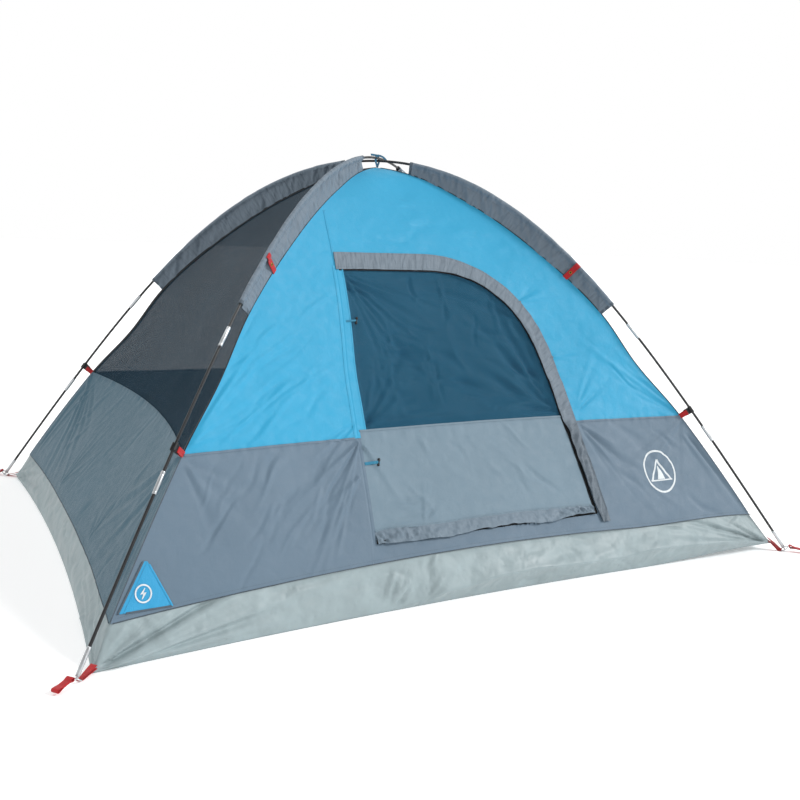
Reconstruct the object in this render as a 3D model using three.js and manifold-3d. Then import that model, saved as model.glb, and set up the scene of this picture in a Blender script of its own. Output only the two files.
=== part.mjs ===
// Two-pole dome tent: crossed shock-corded poles in sleeves and clips, a bathtub floor,
// four walls and a D-shaped door.
// Millimetres. +Z is up, +X runs along the door wall, the door looks along -Y.
// The origin is on the ground under the pole crossing.

import * as THREE from 'three';
import { mergeVertices } from 'three/addons/utils/BufferGeometryUtils.js';
import Module from 'manifold-3d';

const wasm = await Module();
wasm.setup();

// ---------- driving dimensions ----------

// Footprint: the pole tips stand on the corners of this rectangle, and half of each side is given.
const FOOT_X = 1200;
const FOOT_Y = 950;
const FOOT_Z = 14;                       // height of a tip's mouth above the ground
const CROSS_Z = 1320;                    // height of the upper pole's centre line where the poles cross
const POLE_DROP = 9.5;                   // the lower pole passes this far under the upper one
const STEEPEST = THREE.MathUtils.degToRad(53.6);  // slope that each pole approaches towards its foot
const BEND_ARC = 754;                    // arc over which the pole turns over from level to that slope

// Poles: nine sections each, joined by ferrules, with a metal tip at both ends.
const POLE_R = 4.25;
const FERRULE_R = 6;
const FERRULE_BORE_R = 5;
const FERRULE_HALF = 32;
const FIRST_FERRULE = 497;               // arc from the pole's end to the middle of its first ferrule
const SECTION_PITCH = 451;
const FERRULES_PER_SIDE = 4;
const TIP_R = 5.5;
const TIP_LENGTH = 72;
const TIP_BORE_R = 3;
const TIP_BORE_DEPTH = 42;
const PART_GAP = 0.5;                    // play between pieces that touch on the real tent

// Places along each pole, as arc length from its foot.
const CLIP_ARC = 600;
const SLEEVE_START = 1063;
const SLEEVE_END = 1959;
const SLEEVE_NECK = 3;                   // the channel closes into the fin this far below itself
const GUY_TAB_ARC = 1250;

// Distance of the fabric's corner edge inside the pole, against arc length from the foot.
const EDGE_INSET = [
  [0, 52], [144, 38], [600, 45], [840, 64], [1063, 52], [1440, 70], [1728, 68], [1920, 48], [2080, 33],
];

// Walls: the cloth sags inwards between the corner edges, by this much at mid-wall, against height.
const SAG_LONG = [[0, 50], [60, 25], [150, 8], [455, 50], [800, 62], [1100, 45], [1290, 0]];
const SAG_SHORT = [[0, 40], [60, 25], [150, 20], [455, 70], [800, 80], [1100, 55], [1290, 0]];
const CLOTH = 2;                         // thickness that stands for one layer of wall cloth
const WALL_SEAM_Z = 460;                 // seam between the lower and the upper cloth
const SEAM_GAP = 1;
const EDGE_GAP = 5;                      // each wall stops this far short of the corner edge
const PEAK_R = 12;                       // the walls stop this far from the tent's axis at the peak

// Bathtub floor.
const FLOOR_CORNER_R = 1468;
const FLOOR_SHEET = 2.5;
const TUB_CORNER_Z = 105;
const TUB_RISE_LONG = 47;                // extra height at the middle of the front and back sides
const TUB_RISE_SHORT = 12;
const TUB_TURN_IN = 4;                   // the sheet's inner face, nearer the middle of the tent

// Door, in front view.
const HINGE_FOOT_X = -376;               // the hinge seam leans inwards towards its top
const HINGE_TOP_X = -322;
const DOOR_FOOT_Z = 195;
const DOOR_TOP_Z = 947;
const DOOR_FOOT_X = 428;                 // the zip edge leans inwards up to the start of the arch
const DOOR_SIDE_X = 400;
const DOOR_ARCH_Z = 520;
const ARCH_END_X = 20;                   // the arch runs out into the level top here
const DOOR_GAP = 6;                      // cloth edge to zip centre line
const HINGE_GAP = 8;                     // cloth edge to hinge axis
const ZIP_HALF = 4.5;
const ZIP_THICKNESS = 2.4;
const FLAP_WIDTH = 44;
const FLAP_LIFT = 4.4;                   // the flaps lie this far outside the wall surface
const FLAP_SHEET = 1.6;
const FLAP_FOOT_Z = 168;
const PANEL_TOP_Z = 474;                 // top of the door's solid lower panel
const WINDOW_FOOT_Z = 476;
const WINDOW_SHEET = 1.5;
const COVER_LIFT = -5;                   // the privacy cover hangs this far behind the window
const COVER_INSET = 8;                   // and is this much smaller all round
const FOOT_FLAP_DROP = 9;                // the foot flap reaches from this far below the zip
const FOOT_FLAP_RISE = 26;               // to this far above it

// Small parts.
const WEBBING_WIDTH = 20;
const WEBBING = 2.4;
const SLIDER_BACK = -9.5;                // the sliders sit behind the zip, between these lifts
const SLIDER_FRONT = -4.5;
const SIDE_SLIDER_RISE = 58;             // rest place of the side slider above the zip's corner
const TIE_BACKS = {
  tie_back_upper: { z: 787, length: 40 },
  tie_back_lower: { z: 392, length: 50 },
};
const RIBBON_BACK = 2.5;                 // the tie-backs lie on the door between these lifts
const RIBBON_FRONT = 6.5;

const FOOT_R = Math.hypot(FOOT_X, FOOT_Y);
const CORNERS = {
  front_left: new THREE.Vector3(-FOOT_X, -FOOT_Y, 0).normalize(),
  front_right: new THREE.Vector3(FOOT_X, -FOOT_Y, 0).normalize(),
  back_right: new THREE.Vector3(FOOT_X, FOOT_Y, 0).normalize(),
  back_left: new THREE.Vector3(-FOOT_X, FOOT_Y, 0).normalize(),
};
const UP = new THREE.Vector3(0, 0, 1);

// ---------- materials ----------

function material(colour, roughness, metalness = 0, opacity = 1) {
  const transparent = opacity < 1;
  return new THREE.MeshStandardMaterial({ color: colour, roughness, metalness, transparent, opacity });
}

const black = material(0x16181b, 0.4);
const redWeb = material(0xcf2127, 0.75);
const steel = material(0xc9ced2, 0.35, 0.9);
const blackPlastic = material(0x101214, 0.5);
const blueCloth = material(0x3fa9d6, 0.7);
const greyCloth = material(0x75879a, 0.75);
const sleeveCloth = material(0x64707d, 0.8);
const meshCloth = material(0x2c3a42, 0.9, 0, 0.75);
const tubCloth = material(0xb3c2c6, 0.6);

// ---------- curves ----------

// Smooth curve through [x, y] knots, level beyond the ends.
function through(knots, x) {
  if (x <= knots[0][0]) return knots[0][1];
  if (x >= knots.at(-1)[0]) return knots.at(-1)[1];
  const i = knots.findIndex((knot) => knot[0] > x) - 1;
  const slope = (j) => {
    const a = knots[Math.max(j - 1, 0)];
    const b = knots[Math.min(j + 1, knots.length - 1)];
    return (b[1] - a[1]) / (b[0] - a[0]);
  };
  const width = knots[i + 1][0] - knots[i][0];
  const t = (x - knots[i][0]) / width;
  const rest = 1 - t;
  return (1 + 2 * t) * rest * rest * knots[i][1] + t * t * (3 - 2 * t) * knots[i + 1][1]
    + width * t * rest * (rest * slope(i) - t * slope(i + 1));
}

function lookUp(rows, key, value, wanted) {
  const rising = rows.at(-1)[key] > rows[0][key];
  let low = 0;
  let high = rows.length - 1;
  while (high - low > 1) {
    const middle = (low + high) >> 1;
    const before = rising ? rows[middle][key] <= wanted : rows[middle][key] >= wanted;
    if (before) low = middle;
    else high = middle;
  }
  const share = (wanted - rows[low][key]) / (rows[high][key] - rows[low][key]);
  return THREE.MathUtils.lerp(rows[low][value], rows[high][value], share);
}

// Half a pole in its own upright plane: radius from the tent's axis and fall below the crossing,
// against arc length from the crossing.
function halfPole() {
  const step = 4;
  const rows = [{ s: 0, r: 0, fall: 0 }];
  while (rows.at(-1).r < FOOT_R + 60) {
    const last = rows.at(-1);
    const slope = STEEPEST * Math.tanh((last.s + step / 2) / BEND_ARC);
    rows.push({
      s: last.s + step,
      r: last.r + step * Math.cos(slope),
      fall: last.fall + step * Math.sin(slope),
    });
  }
  return rows;
}

const HALF_POLE = halfPole();
const HALF_ARC = lookUp(HALF_POLE, 'r', 's', FOOT_R);
const HALF_FALL = lookUp(HALF_POLE, 's', 'fall', HALF_ARC);

// A pole from its front foot, at arc 0, over the crossing to its back foot, at twice HALF_ARC.
class Pole {
  constructor(direction, crossing) {
    this.direction = direction;
    this.crossing = crossing;
  }

  point(arc) {
    const s = Math.abs(HALF_ARC - arc);
    const radius = Math.sign(HALF_ARC - arc) * lookUp(HALF_POLE, 's', 'r', s);
    const height = this.crossing - lookUp(HALF_POLE, 's', 'fall', s) * (this.crossing - FOOT_Z) / HALF_FALL;
    return this.direction.clone().multiplyScalar(radius).setZ(height);
  }

  // Tangent, outward normal and sideways direction at an arc.
  frame(arc) {
    const tangent = this.point(arc + 2).sub(this.point(arc - 2)).normalize();
    const side = UP.clone().cross(this.direction).normalize();
    const normal = side.clone().cross(tangent).normalize();
    if (normal.z < 0) normal.negate();
    return { at: this.point(arc), tangent, normal, side };
  }
}

const POLES = {
  a: new Pole(CORNERS.front_left, CROSS_Z),
  b: new Pole(CORNERS.front_right, CROSS_Z - POLE_DROP),
};

// Each corner's leg: its pole, and whether arcs are counted from the pole's far end.
const LEGS = {
  front_left: { pole: POLES.a, far: false },
  front_right: { pole: POLES.b, far: false },
  back_right: { pole: POLES.a, far: true },
  back_left: { pole: POLES.b, far: true },
};

// Frame on a leg, at an arc from its own foot. The tangent points up the leg.
function legFrame(corner, arc) {
  const { pole, far } = LEGS[corner];
  const frame = pole.frame(far ? 2 * HALF_ARC - arc : arc);
  if (far) frame.tangent.negate();
  return frame;
}

// The fabric's corner edge: radius against height, from the peak down.
function cornerEdge() {
  const leg = new Pole(CORNERS.front_left, CROSS_Z);
  const rows = [];
  for (let arc = HALF_ARC; arc > -20; arc -= 6) {
    const { at, normal } = leg.frame(arc);
    const edge = at.addScaledVector(normal, -through(EDGE_INSET, arc));
    rows.push({ z: edge.z, r: Math.hypot(edge.x, edge.y) });
  }
  return rows.filter((row, i) => i === 0 || row.z < rows[i - 1].z);
}

const EDGE = cornerEdge();
const edgeRadius = (z) => lookUp(EDGE, 'z', 'r', z);
const PEAK_Z = lookUp(EDGE, 'r', 'z', PEAK_R);

// ---------- the wall surface ----------

const COS = FOOT_X / FOOT_R;
const SIN = FOOT_Y / FOOT_R;
const SIDES = { front: 0, right: 1, back: 2, left: 3 };

// Point of a wall. u runs from -1 to 1 between its corner edges, and gap shortens that run at both ends.
function wallPoint(side, u, z, gap = EDGE_GAP) {
  const long = SIDES[side] % 2 === 0;
  const radius = edgeRadius(z);
  const half = radius * (long ? COS : SIN);
  const out = radius * (long ? SIN : COS);
  const sag = through(long ? SAG_LONG : SAG_SHORT, z);
  const across = u * Math.max(half - gap, 1);
  const share = across / half;
  const point = new THREE.Vector3(across, sag * (1 - share * share) - out, z);
  return point.applyAxisAngle(UP, SIDES[side] * Math.PI / 2);
}

// Point of the door wall in front view, and its outward normal.
function frontPoint(x, z) {
  return wallPoint('front', x / (edgeRadius(z) * COS), z, 0);
}

function frontNormal(x, z) {
  const across = frontPoint(x + 2, z).sub(frontPoint(x - 2, z));
  const up = frontPoint(x, z + 2).sub(frontPoint(x, z - 2));
  return across.cross(up).normalize();
}

function tubHeight(side, u) {
  const rise = SIDES[side] % 2 === 0 ? TUB_RISE_LONG : TUB_RISE_SHORT;
  return TUB_CORNER_Z + rise * (1 - u * u);
}

// ---------- solids ----------

// A closed geometry from points and triangles, turned so that its faces look outwards.
function closedGeometry(points, triangles) {
  const geometry = new THREE.BufferGeometry();
  let volume = 0;
  for (const [a, b, c] of triangles) {
    volume += points[a].dot(points[b].clone().cross(points[c]));
  }
  const faces = volume < 0 ? triangles.map(([a, b, c]) => [a, c, b]) : triangles;
  const flat = points.flatMap((point) => point.toArray());
  geometry.setAttribute('position', new THREE.Float32BufferAttribute(flat, 3));
  geometry.setIndex(faces.flat());
  return geometry;
}

// Two triangles for each quad between two rows of vertices.
function strip(first, second, count, closed) {
  const triangles = [];
  const quads = closed ? count : count - 1;
  for (let i = 0; i < quads; i += 1) {
    const j = (i + 1) % count;
    triangles.push([first + i, first + j, second + j]);
    triangles.push([first + i, second + j, second + i]);
  }
  return triangles;
}

// A sheet of the given thickness on point(u, v), lifted along its normal.
function sheet(point, us, vs, thickness, lift = 0) {
  const outer = [];
  const inner = [];
  const nudge = 1e-3;
  for (const v of vs) {
    for (const u of us) {
      const across = point(u + nudge, v).sub(point(u - nudge, v));
      const up = point(u, v + nudge).sub(point(u, v - nudge));
      const normal = across.cross(up).normalize();
      outer.push(point(u, v).addScaledVector(normal, lift + thickness / 2));
      inner.push(point(u, v).addScaledVector(normal, lift - thickness / 2));
    }
  }
  const columns = us.length;
  const rows = vs.length;
  const back = outer.length;
  const triangles = [];
  for (let row = 0; row + 1 < rows; row += 1) {
    triangles.push(...strip(row * columns, (row + 1) * columns, columns, false));
    triangles.push(...strip(back + (row + 1) * columns, back + row * columns, columns, false));
  }
  const rim = [];
  for (let i = 0; i < columns; i += 1) rim.push(i);
  for (let j = 1; j < rows; j += 1) rim.push(j * columns + columns - 1);
  for (let i = columns - 2; i >= 0; i -= 1) rim.push((rows - 1) * columns + i);
  for (let j = rows - 2; j > 0; j -= 1) rim.push(j * columns);
  rim.forEach((vertex, i) => {
    const next = rim[(i + 1) % rim.length];
    triangles.push([vertex, back + vertex, back + next]);
    triangles.push([vertex, back + next, next]);
  });
  return closedGeometry([...outer, ...inner], triangles);
}

function spread(from, to, steps) {
  return Array.from({ length: steps + 1 }, (_, i) => from + (to - from) * i / steps);
}

// A round body along a pole. The profile is a list of [arc, radius], and starts and ends
// on the centre line.
function roundAlong(pole, profile, sides = 8) {
  const points = [];
  const rows = [];
  for (const [arc, radius] of profile) {
    const { at, normal, side } = pole.frame(arc);
    rows.push({ start: points.length, count: radius === 0 ? 1 : sides });
    if (radius === 0) {
      points.push(at);
      continue;
    }
    for (let i = 0; i < sides; i += 1) {
      const angle = (i + 0.5) * 2 * Math.PI / sides;
      const offset = normal.clone().multiplyScalar(Math.cos(angle)).addScaledVector(side, Math.sin(angle));
      points.push(at.clone().addScaledVector(offset, radius));
    }
  }
  const triangles = [];
  for (let row = 0; row + 1 < rows.length; row += 1) {
    const here = rows[row];
    const next = rows[row + 1];
    for (let i = 0; i < sides; i += 1) {
      const j = (i + 1) % sides;
      const corner = (ring, k) => ring.start + (ring.count === 1 ? 0 : k);
      if (here.count > 1) triangles.push([corner(here, i), corner(here, j), corner(next, i)]);
      if (next.count > 1) triangles.push([corner(here, j), corner(next, j), corner(next, i)]);
    }
  }
  return closedGeometry(points, triangles);
}

function toSolid(geometry) {
  const bare = geometry.clone();
  bare.deleteAttribute('normal');
  bare.deleteAttribute('uv');
  const merged = mergeVertices(bare, 1e-4);
  const vertProperties = new Float32Array(merged.attributes.position.array);
  const triVerts = new Uint32Array(merged.index.array);
  return new wasm.Manifold(new wasm.Mesh({ numProp: 3, vertProperties, triVerts }));
}

function toGeometry(solid) {
  const mesh = solid.getMesh();
  const geometry = new THREE.BufferGeometry();
  geometry.setAttribute('position', new THREE.Float32BufferAttribute(mesh.vertProperties, 3));
  geometry.setIndex(Array.from(mesh.triVerts));
  return geometry;
}

function extrude(shape, depth, curveSegments) {
  return new THREE.ExtrudeGeometry(shape, { depth, bevelEnabled: false, curveSegments });
}

// A shape drawn in front view, (x, z), as a prism through the door wall.
function prism(shape) {
  const geometry = extrude(shape, FOOT_Y, 10);
  return toSolid(geometry.rotateX(Math.PI / 2));
}

// A profile drawn across a leg, (outward, sideways), extruded along it and centred on an arc.
function acrossLeg(corner, arc, shape, length) {
  const { at, tangent, normal } = legFrame(corner, arc);
  const geometry = extrude(shape, length, 6);
  geometry.translate(0, 0, -length / 2);
  const basis = new THREE.Matrix4().makeBasis(normal, tangent.clone().cross(normal), tangent);
  geometry.applyMatrix4(basis.setPosition(at));
  return geometry;
}

const model = new THREE.Group();

function add(name, geometry, look) {
  const mesh = new THREE.Mesh(geometry, look);
  mesh.name = name;
  model.add(mesh);
}

// ---------- poles ----------

// Arc of every ferrule's middle, from the pole's front foot.
function ferruleArcs() {
  const near = Array.from({ length: FERRULES_PER_SIDE }, (_, i) => FIRST_FERRULE + i * SECTION_PITCH);
  const far = near.map((arc) => 2 * HALF_ARC - arc).reverse();
  return [...near, ...far];
}

// One section: a rod with a metal tip or a plain spigot at its start, and a ferrule or a tip at its end.
function poleSection(pole, start, end, first, last) {
  const profile = [];
  if (first) {
    profile.push([TIP_BORE_DEPTH, 0], [TIP_BORE_DEPTH, TIP_BORE_R], [start, TIP_BORE_R], [start, TIP_R]);
    profile.push([TIP_LENGTH, TIP_R], [TIP_LENGTH, POLE_R]);
  } else {
    profile.push([start + PART_GAP, 0], [start + PART_GAP, POLE_R], [start + FERRULE_HALF, POLE_R]);
  }
  const rodEnd = last ? end - TIP_LENGTH : end - FERRULE_HALF;
  const rodStart = first ? TIP_LENGTH : start + FERRULE_HALF;
  profile.push(...spread(rodStart, rodEnd, 5).slice(1).map((arc) => [arc, POLE_R]));
  if (last) {
    profile.push([rodEnd, TIP_R], [end, TIP_R], [end, TIP_BORE_R]);
    profile.push([end - TIP_BORE_DEPTH, TIP_BORE_R], [end - TIP_BORE_DEPTH, 0]);
  } else {
    profile.push([rodEnd, FERRULE_R], [end, FERRULE_R], [end + FERRULE_HALF, FERRULE_R]);
    profile.push([end + FERRULE_HALF, FERRULE_BORE_R], [end, FERRULE_BORE_R], [end, 0]);
  }
  return roundAlong(pole, profile);
}

for (const [letter, pole] of Object.entries(POLES)) {
  const ends = [0, ...ferruleArcs(), 2 * HALF_ARC];
  for (let i = 0; i + 1 < ends.length; i += 1) {
    const section = poleSection(pole, ends[i], ends[i + 1], i === 0, i + 2 === ends.length);
    add(`pole_${letter}_section_${i + 1}`, section, black);
  }
}

// ---------- pole sleeves ----------

// Cross-section of a sleeve, (outward, sideways): a channel round the pole and a fin down
// to the corner edge.
function sleeveRings(arc) {
  const channel = 9;
  const bore = 7;
  const fin = through(EDGE_INSET, arc) - EDGE_GAP;
  const half = CLOTH / 2;
  const steps = [0, 50, 95, 140];
  const sideways = (angle, radius) => {
    const radians = THREE.MathUtils.degToRad(angle);
    return [radius * Math.cos(radians), radius * Math.sin(radians)];
  };
  const right = steps.map((angle) => sideways(angle, channel));
  const left = steps.slice(1).reverse().map((angle) => sideways(-angle, channel));
  const neck = -channel - SLEEVE_NECK;
  const outer = [...right, [neck, half], [-fin, half], [-fin, -half], [neck, -half], ...left];
  const inner = outer.map((_, i) => sideways(i * 360 / outer.length, bore));
  return { outer, inner };
}

function sleeve(corner) {
  const points = [];
  const arcs = spread(SLEEVE_START, SLEEVE_END, 12);
  let count = 0;
  for (const arc of arcs) {
    const { at, normal, side } = legFrame(corner, arc);
    const rings = sleeveRings(arc);
    count = rings.outer.length;
    for (const [out, across] of [...rings.outer, ...rings.inner]) {
      points.push(at.clone().addScaledVector(normal, out).addScaledVector(side, across));
    }
  }
  const triangles = [];
  const stride = 2 * count;
  for (let i = 0; i + 1 < arcs.length; i += 1) {
    triangles.push(...strip(i * stride, (i + 1) * stride, count, true));
    triangles.push(...strip((i + 1) * stride + count, i * stride + count, count, true));
  }
  const last = (arcs.length - 1) * stride;
  triangles.push(...strip(count, 0, count, true));
  triangles.push(...strip(last, last + count, count, true));
  return closedGeometry(points, triangles);
}

// ---------- guy tabs, clips, anchors ----------

// A webbing tab with an eyelet, sewn flat on the sleeve's fin on the side that looks at the door wall.
function guyTab(corner) {
  const near = 14;
  const far = 52;
  const eyelet = 4;
  const shape = new THREE.Shape();
  shape.moveTo(-far, -WEBBING_WIDTH / 2);
  shape.lineTo(-near, -WEBBING_WIDTH / 2);
  shape.lineTo(-near, WEBBING_WIDTH / 2);
  shape.lineTo(-far, WEBBING_WIDTH / 2);
  shape.closePath();
  const hole = new THREE.Path();
  hole.absarc(-(near + far) / 2, 0, eyelet, 0, 2 * Math.PI, true);
  shape.holes.push(hole);
  const geometry = extrude(shape, WEBBING, 8);
  const { at, tangent, normal } = legFrame(corner, GUY_TAB_ARC);
  const outwards = corner.startsWith('front') ? -1 : 1;
  const side = normal.clone().cross(tangent);
  if (side.y * outwards < 0) {
    side.negate();
    tangent.negate();
  }
  at.addScaledVector(side, CLOTH / 2 + PART_GAP);
  geometry.applyMatrix4(new THREE.Matrix4().makeBasis(normal, tangent, side).setPosition(at));
  return geometry;
}

// A plastic hook round the pole on a webbing tab that is sewn to the corner edge.
function poleClip(corner) {
  const hookR = 9;
  const bore = 5.2;
  const mouth = THREE.MathUtils.degToRad(38);
  const length = 24;
  const stemHalf = 4;
  const stemEnd = -26;
  const hook = new THREE.Shape();
  hook.absarc(0, 0, hookR, mouth, Math.PI - 0.45, false);
  hook.lineTo(stemEnd, stemHalf);
  hook.lineTo(stemEnd, -stemHalf);
  hook.absarc(0, 0, hookR, Math.PI + 0.45, 2 * Math.PI - mouth, false);
  hook.absarc(0, 0, bore, 2 * Math.PI - mouth, mouth, true);
  hook.closePath();
  const tabEnd = 2 - through(EDGE_INSET, CLIP_ARC);
  const tab = new THREE.Shape();
  tab.moveTo(stemEnd + 2, WEBBING / 2);
  tab.lineTo(tabEnd, WEBBING / 2);
  tab.lineTo(tabEnd, -WEBBING / 2);
  tab.lineTo(stemEnd + 2, -WEBBING / 2);
  tab.closePath();
  const body = toSolid(acrossLeg(corner, CLIP_ARC, hook, length));
  return toGeometry(body.add(toSolid(acrossLeg(corner, CLIP_ARC, tab, WEBBING_WIDTH))));
}

// Ring and pin at the pole's tip, with the strap that ties them to the floor's corner.
const RING_R = 15;
const RING_ARC = -4.5;

function anchor(corner) {
  const ringHole = 11;
  const ringLength = 3.5;
  const pinR = 2.2;
  const ring = new THREE.Shape();
  ring.absarc(0, 0, RING_R, 0, 2 * Math.PI, false);
  const hole = new THREE.Path();
  hole.absarc(0, 0, ringHole, 0, 2 * Math.PI, true);
  ring.holes.push(hole);
  const bar = new THREE.Shape();
  bar.moveTo(-3, -ringHole - 2);
  bar.lineTo(3, -ringHole - 2);
  bar.lineTo(3, ringHole + 2);
  bar.lineTo(-3, ringHole + 2);
  bar.closePath();
  const pin = new THREE.Shape();
  pin.absarc(0, 0, pinR, 0, 2 * Math.PI, false);
  const pinEnd = TIP_BORE_DEPTH - 5;
  const pinMiddle = (pinEnd + RING_ARC) / 2;
  let solid = toSolid(acrossLeg(corner, RING_ARC, ring, ringLength));
  solid = solid.add(toSolid(acrossLeg(corner, RING_ARC, bar, ringLength)));
  solid = solid.add(toSolid(acrossLeg(corner, pinMiddle, pin, pinEnd - RING_ARC)));
  return toGeometry(solid.add(toSolid(anchorStrap(corner))));
}

// The strap lies flat on the ground from the ring's low edge to the floor's corner.
function anchorStrap(corner) {
  const { at, normal } = legFrame(corner, RING_ARC);
  const rim = at.addScaledVector(normal, -(RING_R - 2));
  const outer = Math.hypot(rim.x, rim.y);
  const inner = FLOOR_CORNER_R + 1.5;
  const box = new THREE.BoxGeometry(outer - inner, WEBBING_WIDTH, WEBBING);
  const side = UP.clone().cross(CORNERS[corner]);
  const middle = CORNERS[corner].clone().multiplyScalar((outer + inner) / 2).setZ(rim.z);
  return box.applyMatrix4(new THREE.Matrix4().makeBasis(CORNERS[corner], side, UP).setPosition(middle));
}

// A folded webbing loop for the peg, from the ring's high edge down to the ground outside the foot.
const LOOP_LENGTH = 74;
const LOOP_HALF = 6;

function pegLoop(corner) {
  const wall = 2;
  const outline = (half, from, to) => {
    const shape = new THREE.Shape();
    shape.absarc(from, 0, half, Math.PI / 2, 3 * Math.PI / 2, false);
    shape.absarc(to, 0, half, -Math.PI / 2, Math.PI / 2, false);
    shape.closePath();
    return shape;
  };
  const shape = outline(LOOP_HALF, LOOP_HALF, LOOP_LENGTH - LOOP_HALF);
  shape.holes.push(outline(LOOP_HALF - wall, LOOP_HALF, LOOP_LENGTH - LOOP_HALF));
  const geometry = extrude(shape, WEBBING_WIDTH, 6);
  geometry.translate(0, 0, -WEBBING_WIDTH / 2);
  const { at, normal } = legFrame(corner, RING_ARC);
  const start = at.addScaledVector(normal, RING_R + 1).addScaledVector(CORNERS[corner], 1.5);
  const fall = start.z - LOOP_HALF - 1;
  const along = CORNERS[corner].clone().setZ(-fall / LOOP_LENGTH).normalize();
  const side = UP.clone().cross(CORNERS[corner]);
  const lift = along.clone().cross(side);
  const basis = new THREE.Matrix4().makeBasis(along, lift, along.clone().cross(lift));
  return geometry.applyMatrix4(basis.setPosition(start));
}

for (const corner of Object.keys(CORNERS)) {
  add(`sleeve_${corner}`, sleeve(corner), sleeveCloth);
  add(`guy_tab_${corner}`, guyTab(corner), redWeb);
  add(`pole_clip_${corner}`, poleClip(corner), blackPlastic);
  add(`corner_anchor_${corner}`, anchor(corner), steel);
  add(`peg_loop_${corner}`, pegLoop(corner), redWeb);
}

// A ribbon tied round both poles at the crossing, down to the peak.
function peakTie() {
  const width = 12;
  const halfWidth = 17;
  const top = CROSS_Z + POLE_R + 6;
  const bottom = PEAK_Z + 3;
  const loop = (inset) => {
    const shape = new THREE.Shape();
    const halfHeight = (top - bottom) / 2;
    shape.absellipse(0, (top + bottom) / 2, halfWidth - inset, halfHeight - inset, 0, 2 * Math.PI, false);
    return shape;
  };
  const shape = loop(0);
  shape.holes.push(loop(2));
  const geometry = extrude(shape, width, 8);
  geometry.translate(0, 0, -width / 2);
  return geometry.rotateX(Math.PI / 2).rotateZ(Math.PI / 2);
}

add('peak_tie', peakTie(), blueCloth);

// ---------- bathtub floor ----------

function floorTub() {
  const perSide = 8;
  const loops = [[], [], [], []];
  const bottomZ = 0;
  for (const side of Object.keys(SIDES)) {
    const long = SIDES[side] % 2 === 0;
    const half = FLOOR_CORNER_R * (long ? COS : SIN);
    const out = FLOOR_CORNER_R * (long ? SIN : COS);
    const sag = through(long ? SAG_LONG : SAG_SHORT, 0);
    for (const u of spread(-1, 1, perSide).slice(0, -1)) {
      const low = new THREE.Vector3(u * half, sag * (1 - u * u) - out, bottomZ);
      low.applyAxisAngle(UP, SIDES[side] * Math.PI / 2);
      const high = wallPoint(side, u, tubHeight(side, u), 0);
      const inwards = (point) => {
        const away = Math.hypot(point.x, point.y);
        return point.clone().multiplyScalar(1 - TUB_TURN_IN / away).setZ(point.z);
      };
      loops[0].push(low);
      loops[1].push(high);
      loops[2].push(inwards(high));
      loops[3].push(inwards(low).setZ(FLOOR_SHEET));
    }
  }
  const count = loops[0].length;
  const points = [...loops.flat(), new THREE.Vector3(0, 0, bottomZ), new THREE.Vector3(0, 0, FLOOR_SHEET)];
  const triangles = [];
  for (let i = 0; i < 3; i += 1) triangles.push(...strip(i * count, (i + 1) * count, count, true));
  for (let i = 0; i < count; i += 1) {
    const next = (i + 1) % count;
    triangles.push([4 * count, next, i]);
    triangles.push([4 * count + 1, 3 * count + i, 3 * count + next]);
  }
  return closedGeometry(points, triangles);
}

add('floor_tub', floorTub(), tubCloth);

// ---------- walls ----------

// Lower wall of a side, from the tub's rim to the wall seam.
function lowerWall(side, columns = 10) {
  const point = (u, v) => {
    const foot = tubHeight(side, u) + SEAM_GAP;
    return wallPoint(side, u, foot + v * (WALL_SEAM_Z - SEAM_GAP - foot));
  };
  return sheet(point, spread(-1, 1, columns), spread(0, 1, 5), CLOTH);
}

// Heights of even steps along the corner edge, so that rows stay even where the edge runs level.
function edgeHeights(from, to, steps) {
  const start = lookUp(EDGE.map((row, i) => ({ ...row, i })), 'z', 'i', from);
  const end = lookUp(EDGE.map((row, i) => ({ ...row, i })), 'z', 'i', to);
  return spread(start, end, steps).map((i) => {
    const low = Math.min(Math.floor(i), EDGE.length - 2);
    return THREE.MathUtils.lerp(EDGE[low].z, EDGE[low + 1].z, i - low);
  });
}

function upperWall(side, columns = 8, rows = 9) {
  const heights = edgeHeights(WALL_SEAM_Z + SEAM_GAP, PEAK_Z, rows);
  return sheet((u, z) => wallPoint(side, u, z), spread(-1, 1, columns), heights, CLOTH);
}

for (const side of ['right', 'back', 'left']) {
  add(`lower_wall_${side}`, lowerWall(side), greyCloth);
  add(`mesh_wall_${side}`, upperWall(side), meshCloth);
}

// ---------- door wall ----------

const hingeX = (z) => THREE.MathUtils.mapLinear(z, DOOR_FOOT_Z, DOOR_TOP_Z, HINGE_FOOT_X, HINGE_TOP_X);

// The door's outline in front view, grown outwards along the zip, with its hinge edge and foot moved.
function doorShape(grow, hingeShift, foot = DOOR_FOOT_Z - grow) {
  const top = DOOR_TOP_Z + grow;
  const side = DOOR_SIDE_X + grow;
  const lean = (DOOR_FOOT_X - DOOR_SIDE_X) * (DOOR_ARCH_Z - foot) / (DOOR_ARCH_Z - DOOR_FOOT_Z);
  const shape = new THREE.Shape();
  shape.moveTo(hingeX(foot) + hingeShift, foot);
  shape.lineTo(side + lean, foot);
  shape.lineTo(side, DOOR_ARCH_Z);
  shape.bezierCurveTo(side - 8, DOOR_ARCH_Z + 250 + grow / 2, 265 + grow / 2, top, ARCH_END_X, top);
  shape.lineTo(hingeX(top) + hingeShift, top);
  shape.closePath();
  return shape;
}

// A rectangle in front view.
function boxShape(left, right, foot, top) {
  const shape = new THREE.Shape();
  shape.moveTo(left, foot);
  shape.lineTo(right, foot);
  shape.lineTo(right, top);
  shape.lineTo(left, top);
  shape.closePath();
  return shape;
}

// A sheet that lies on the door wall over a rectangle in front view, for cutting to shape.
function frontSheet(left, right, foot, top, thickness, lift, columns, rows) {
  const geometry = sheet(frontPoint, spread(left, right, columns), spread(foot, top, rows), thickness, lift);
  return toSolid(geometry);
}

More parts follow.
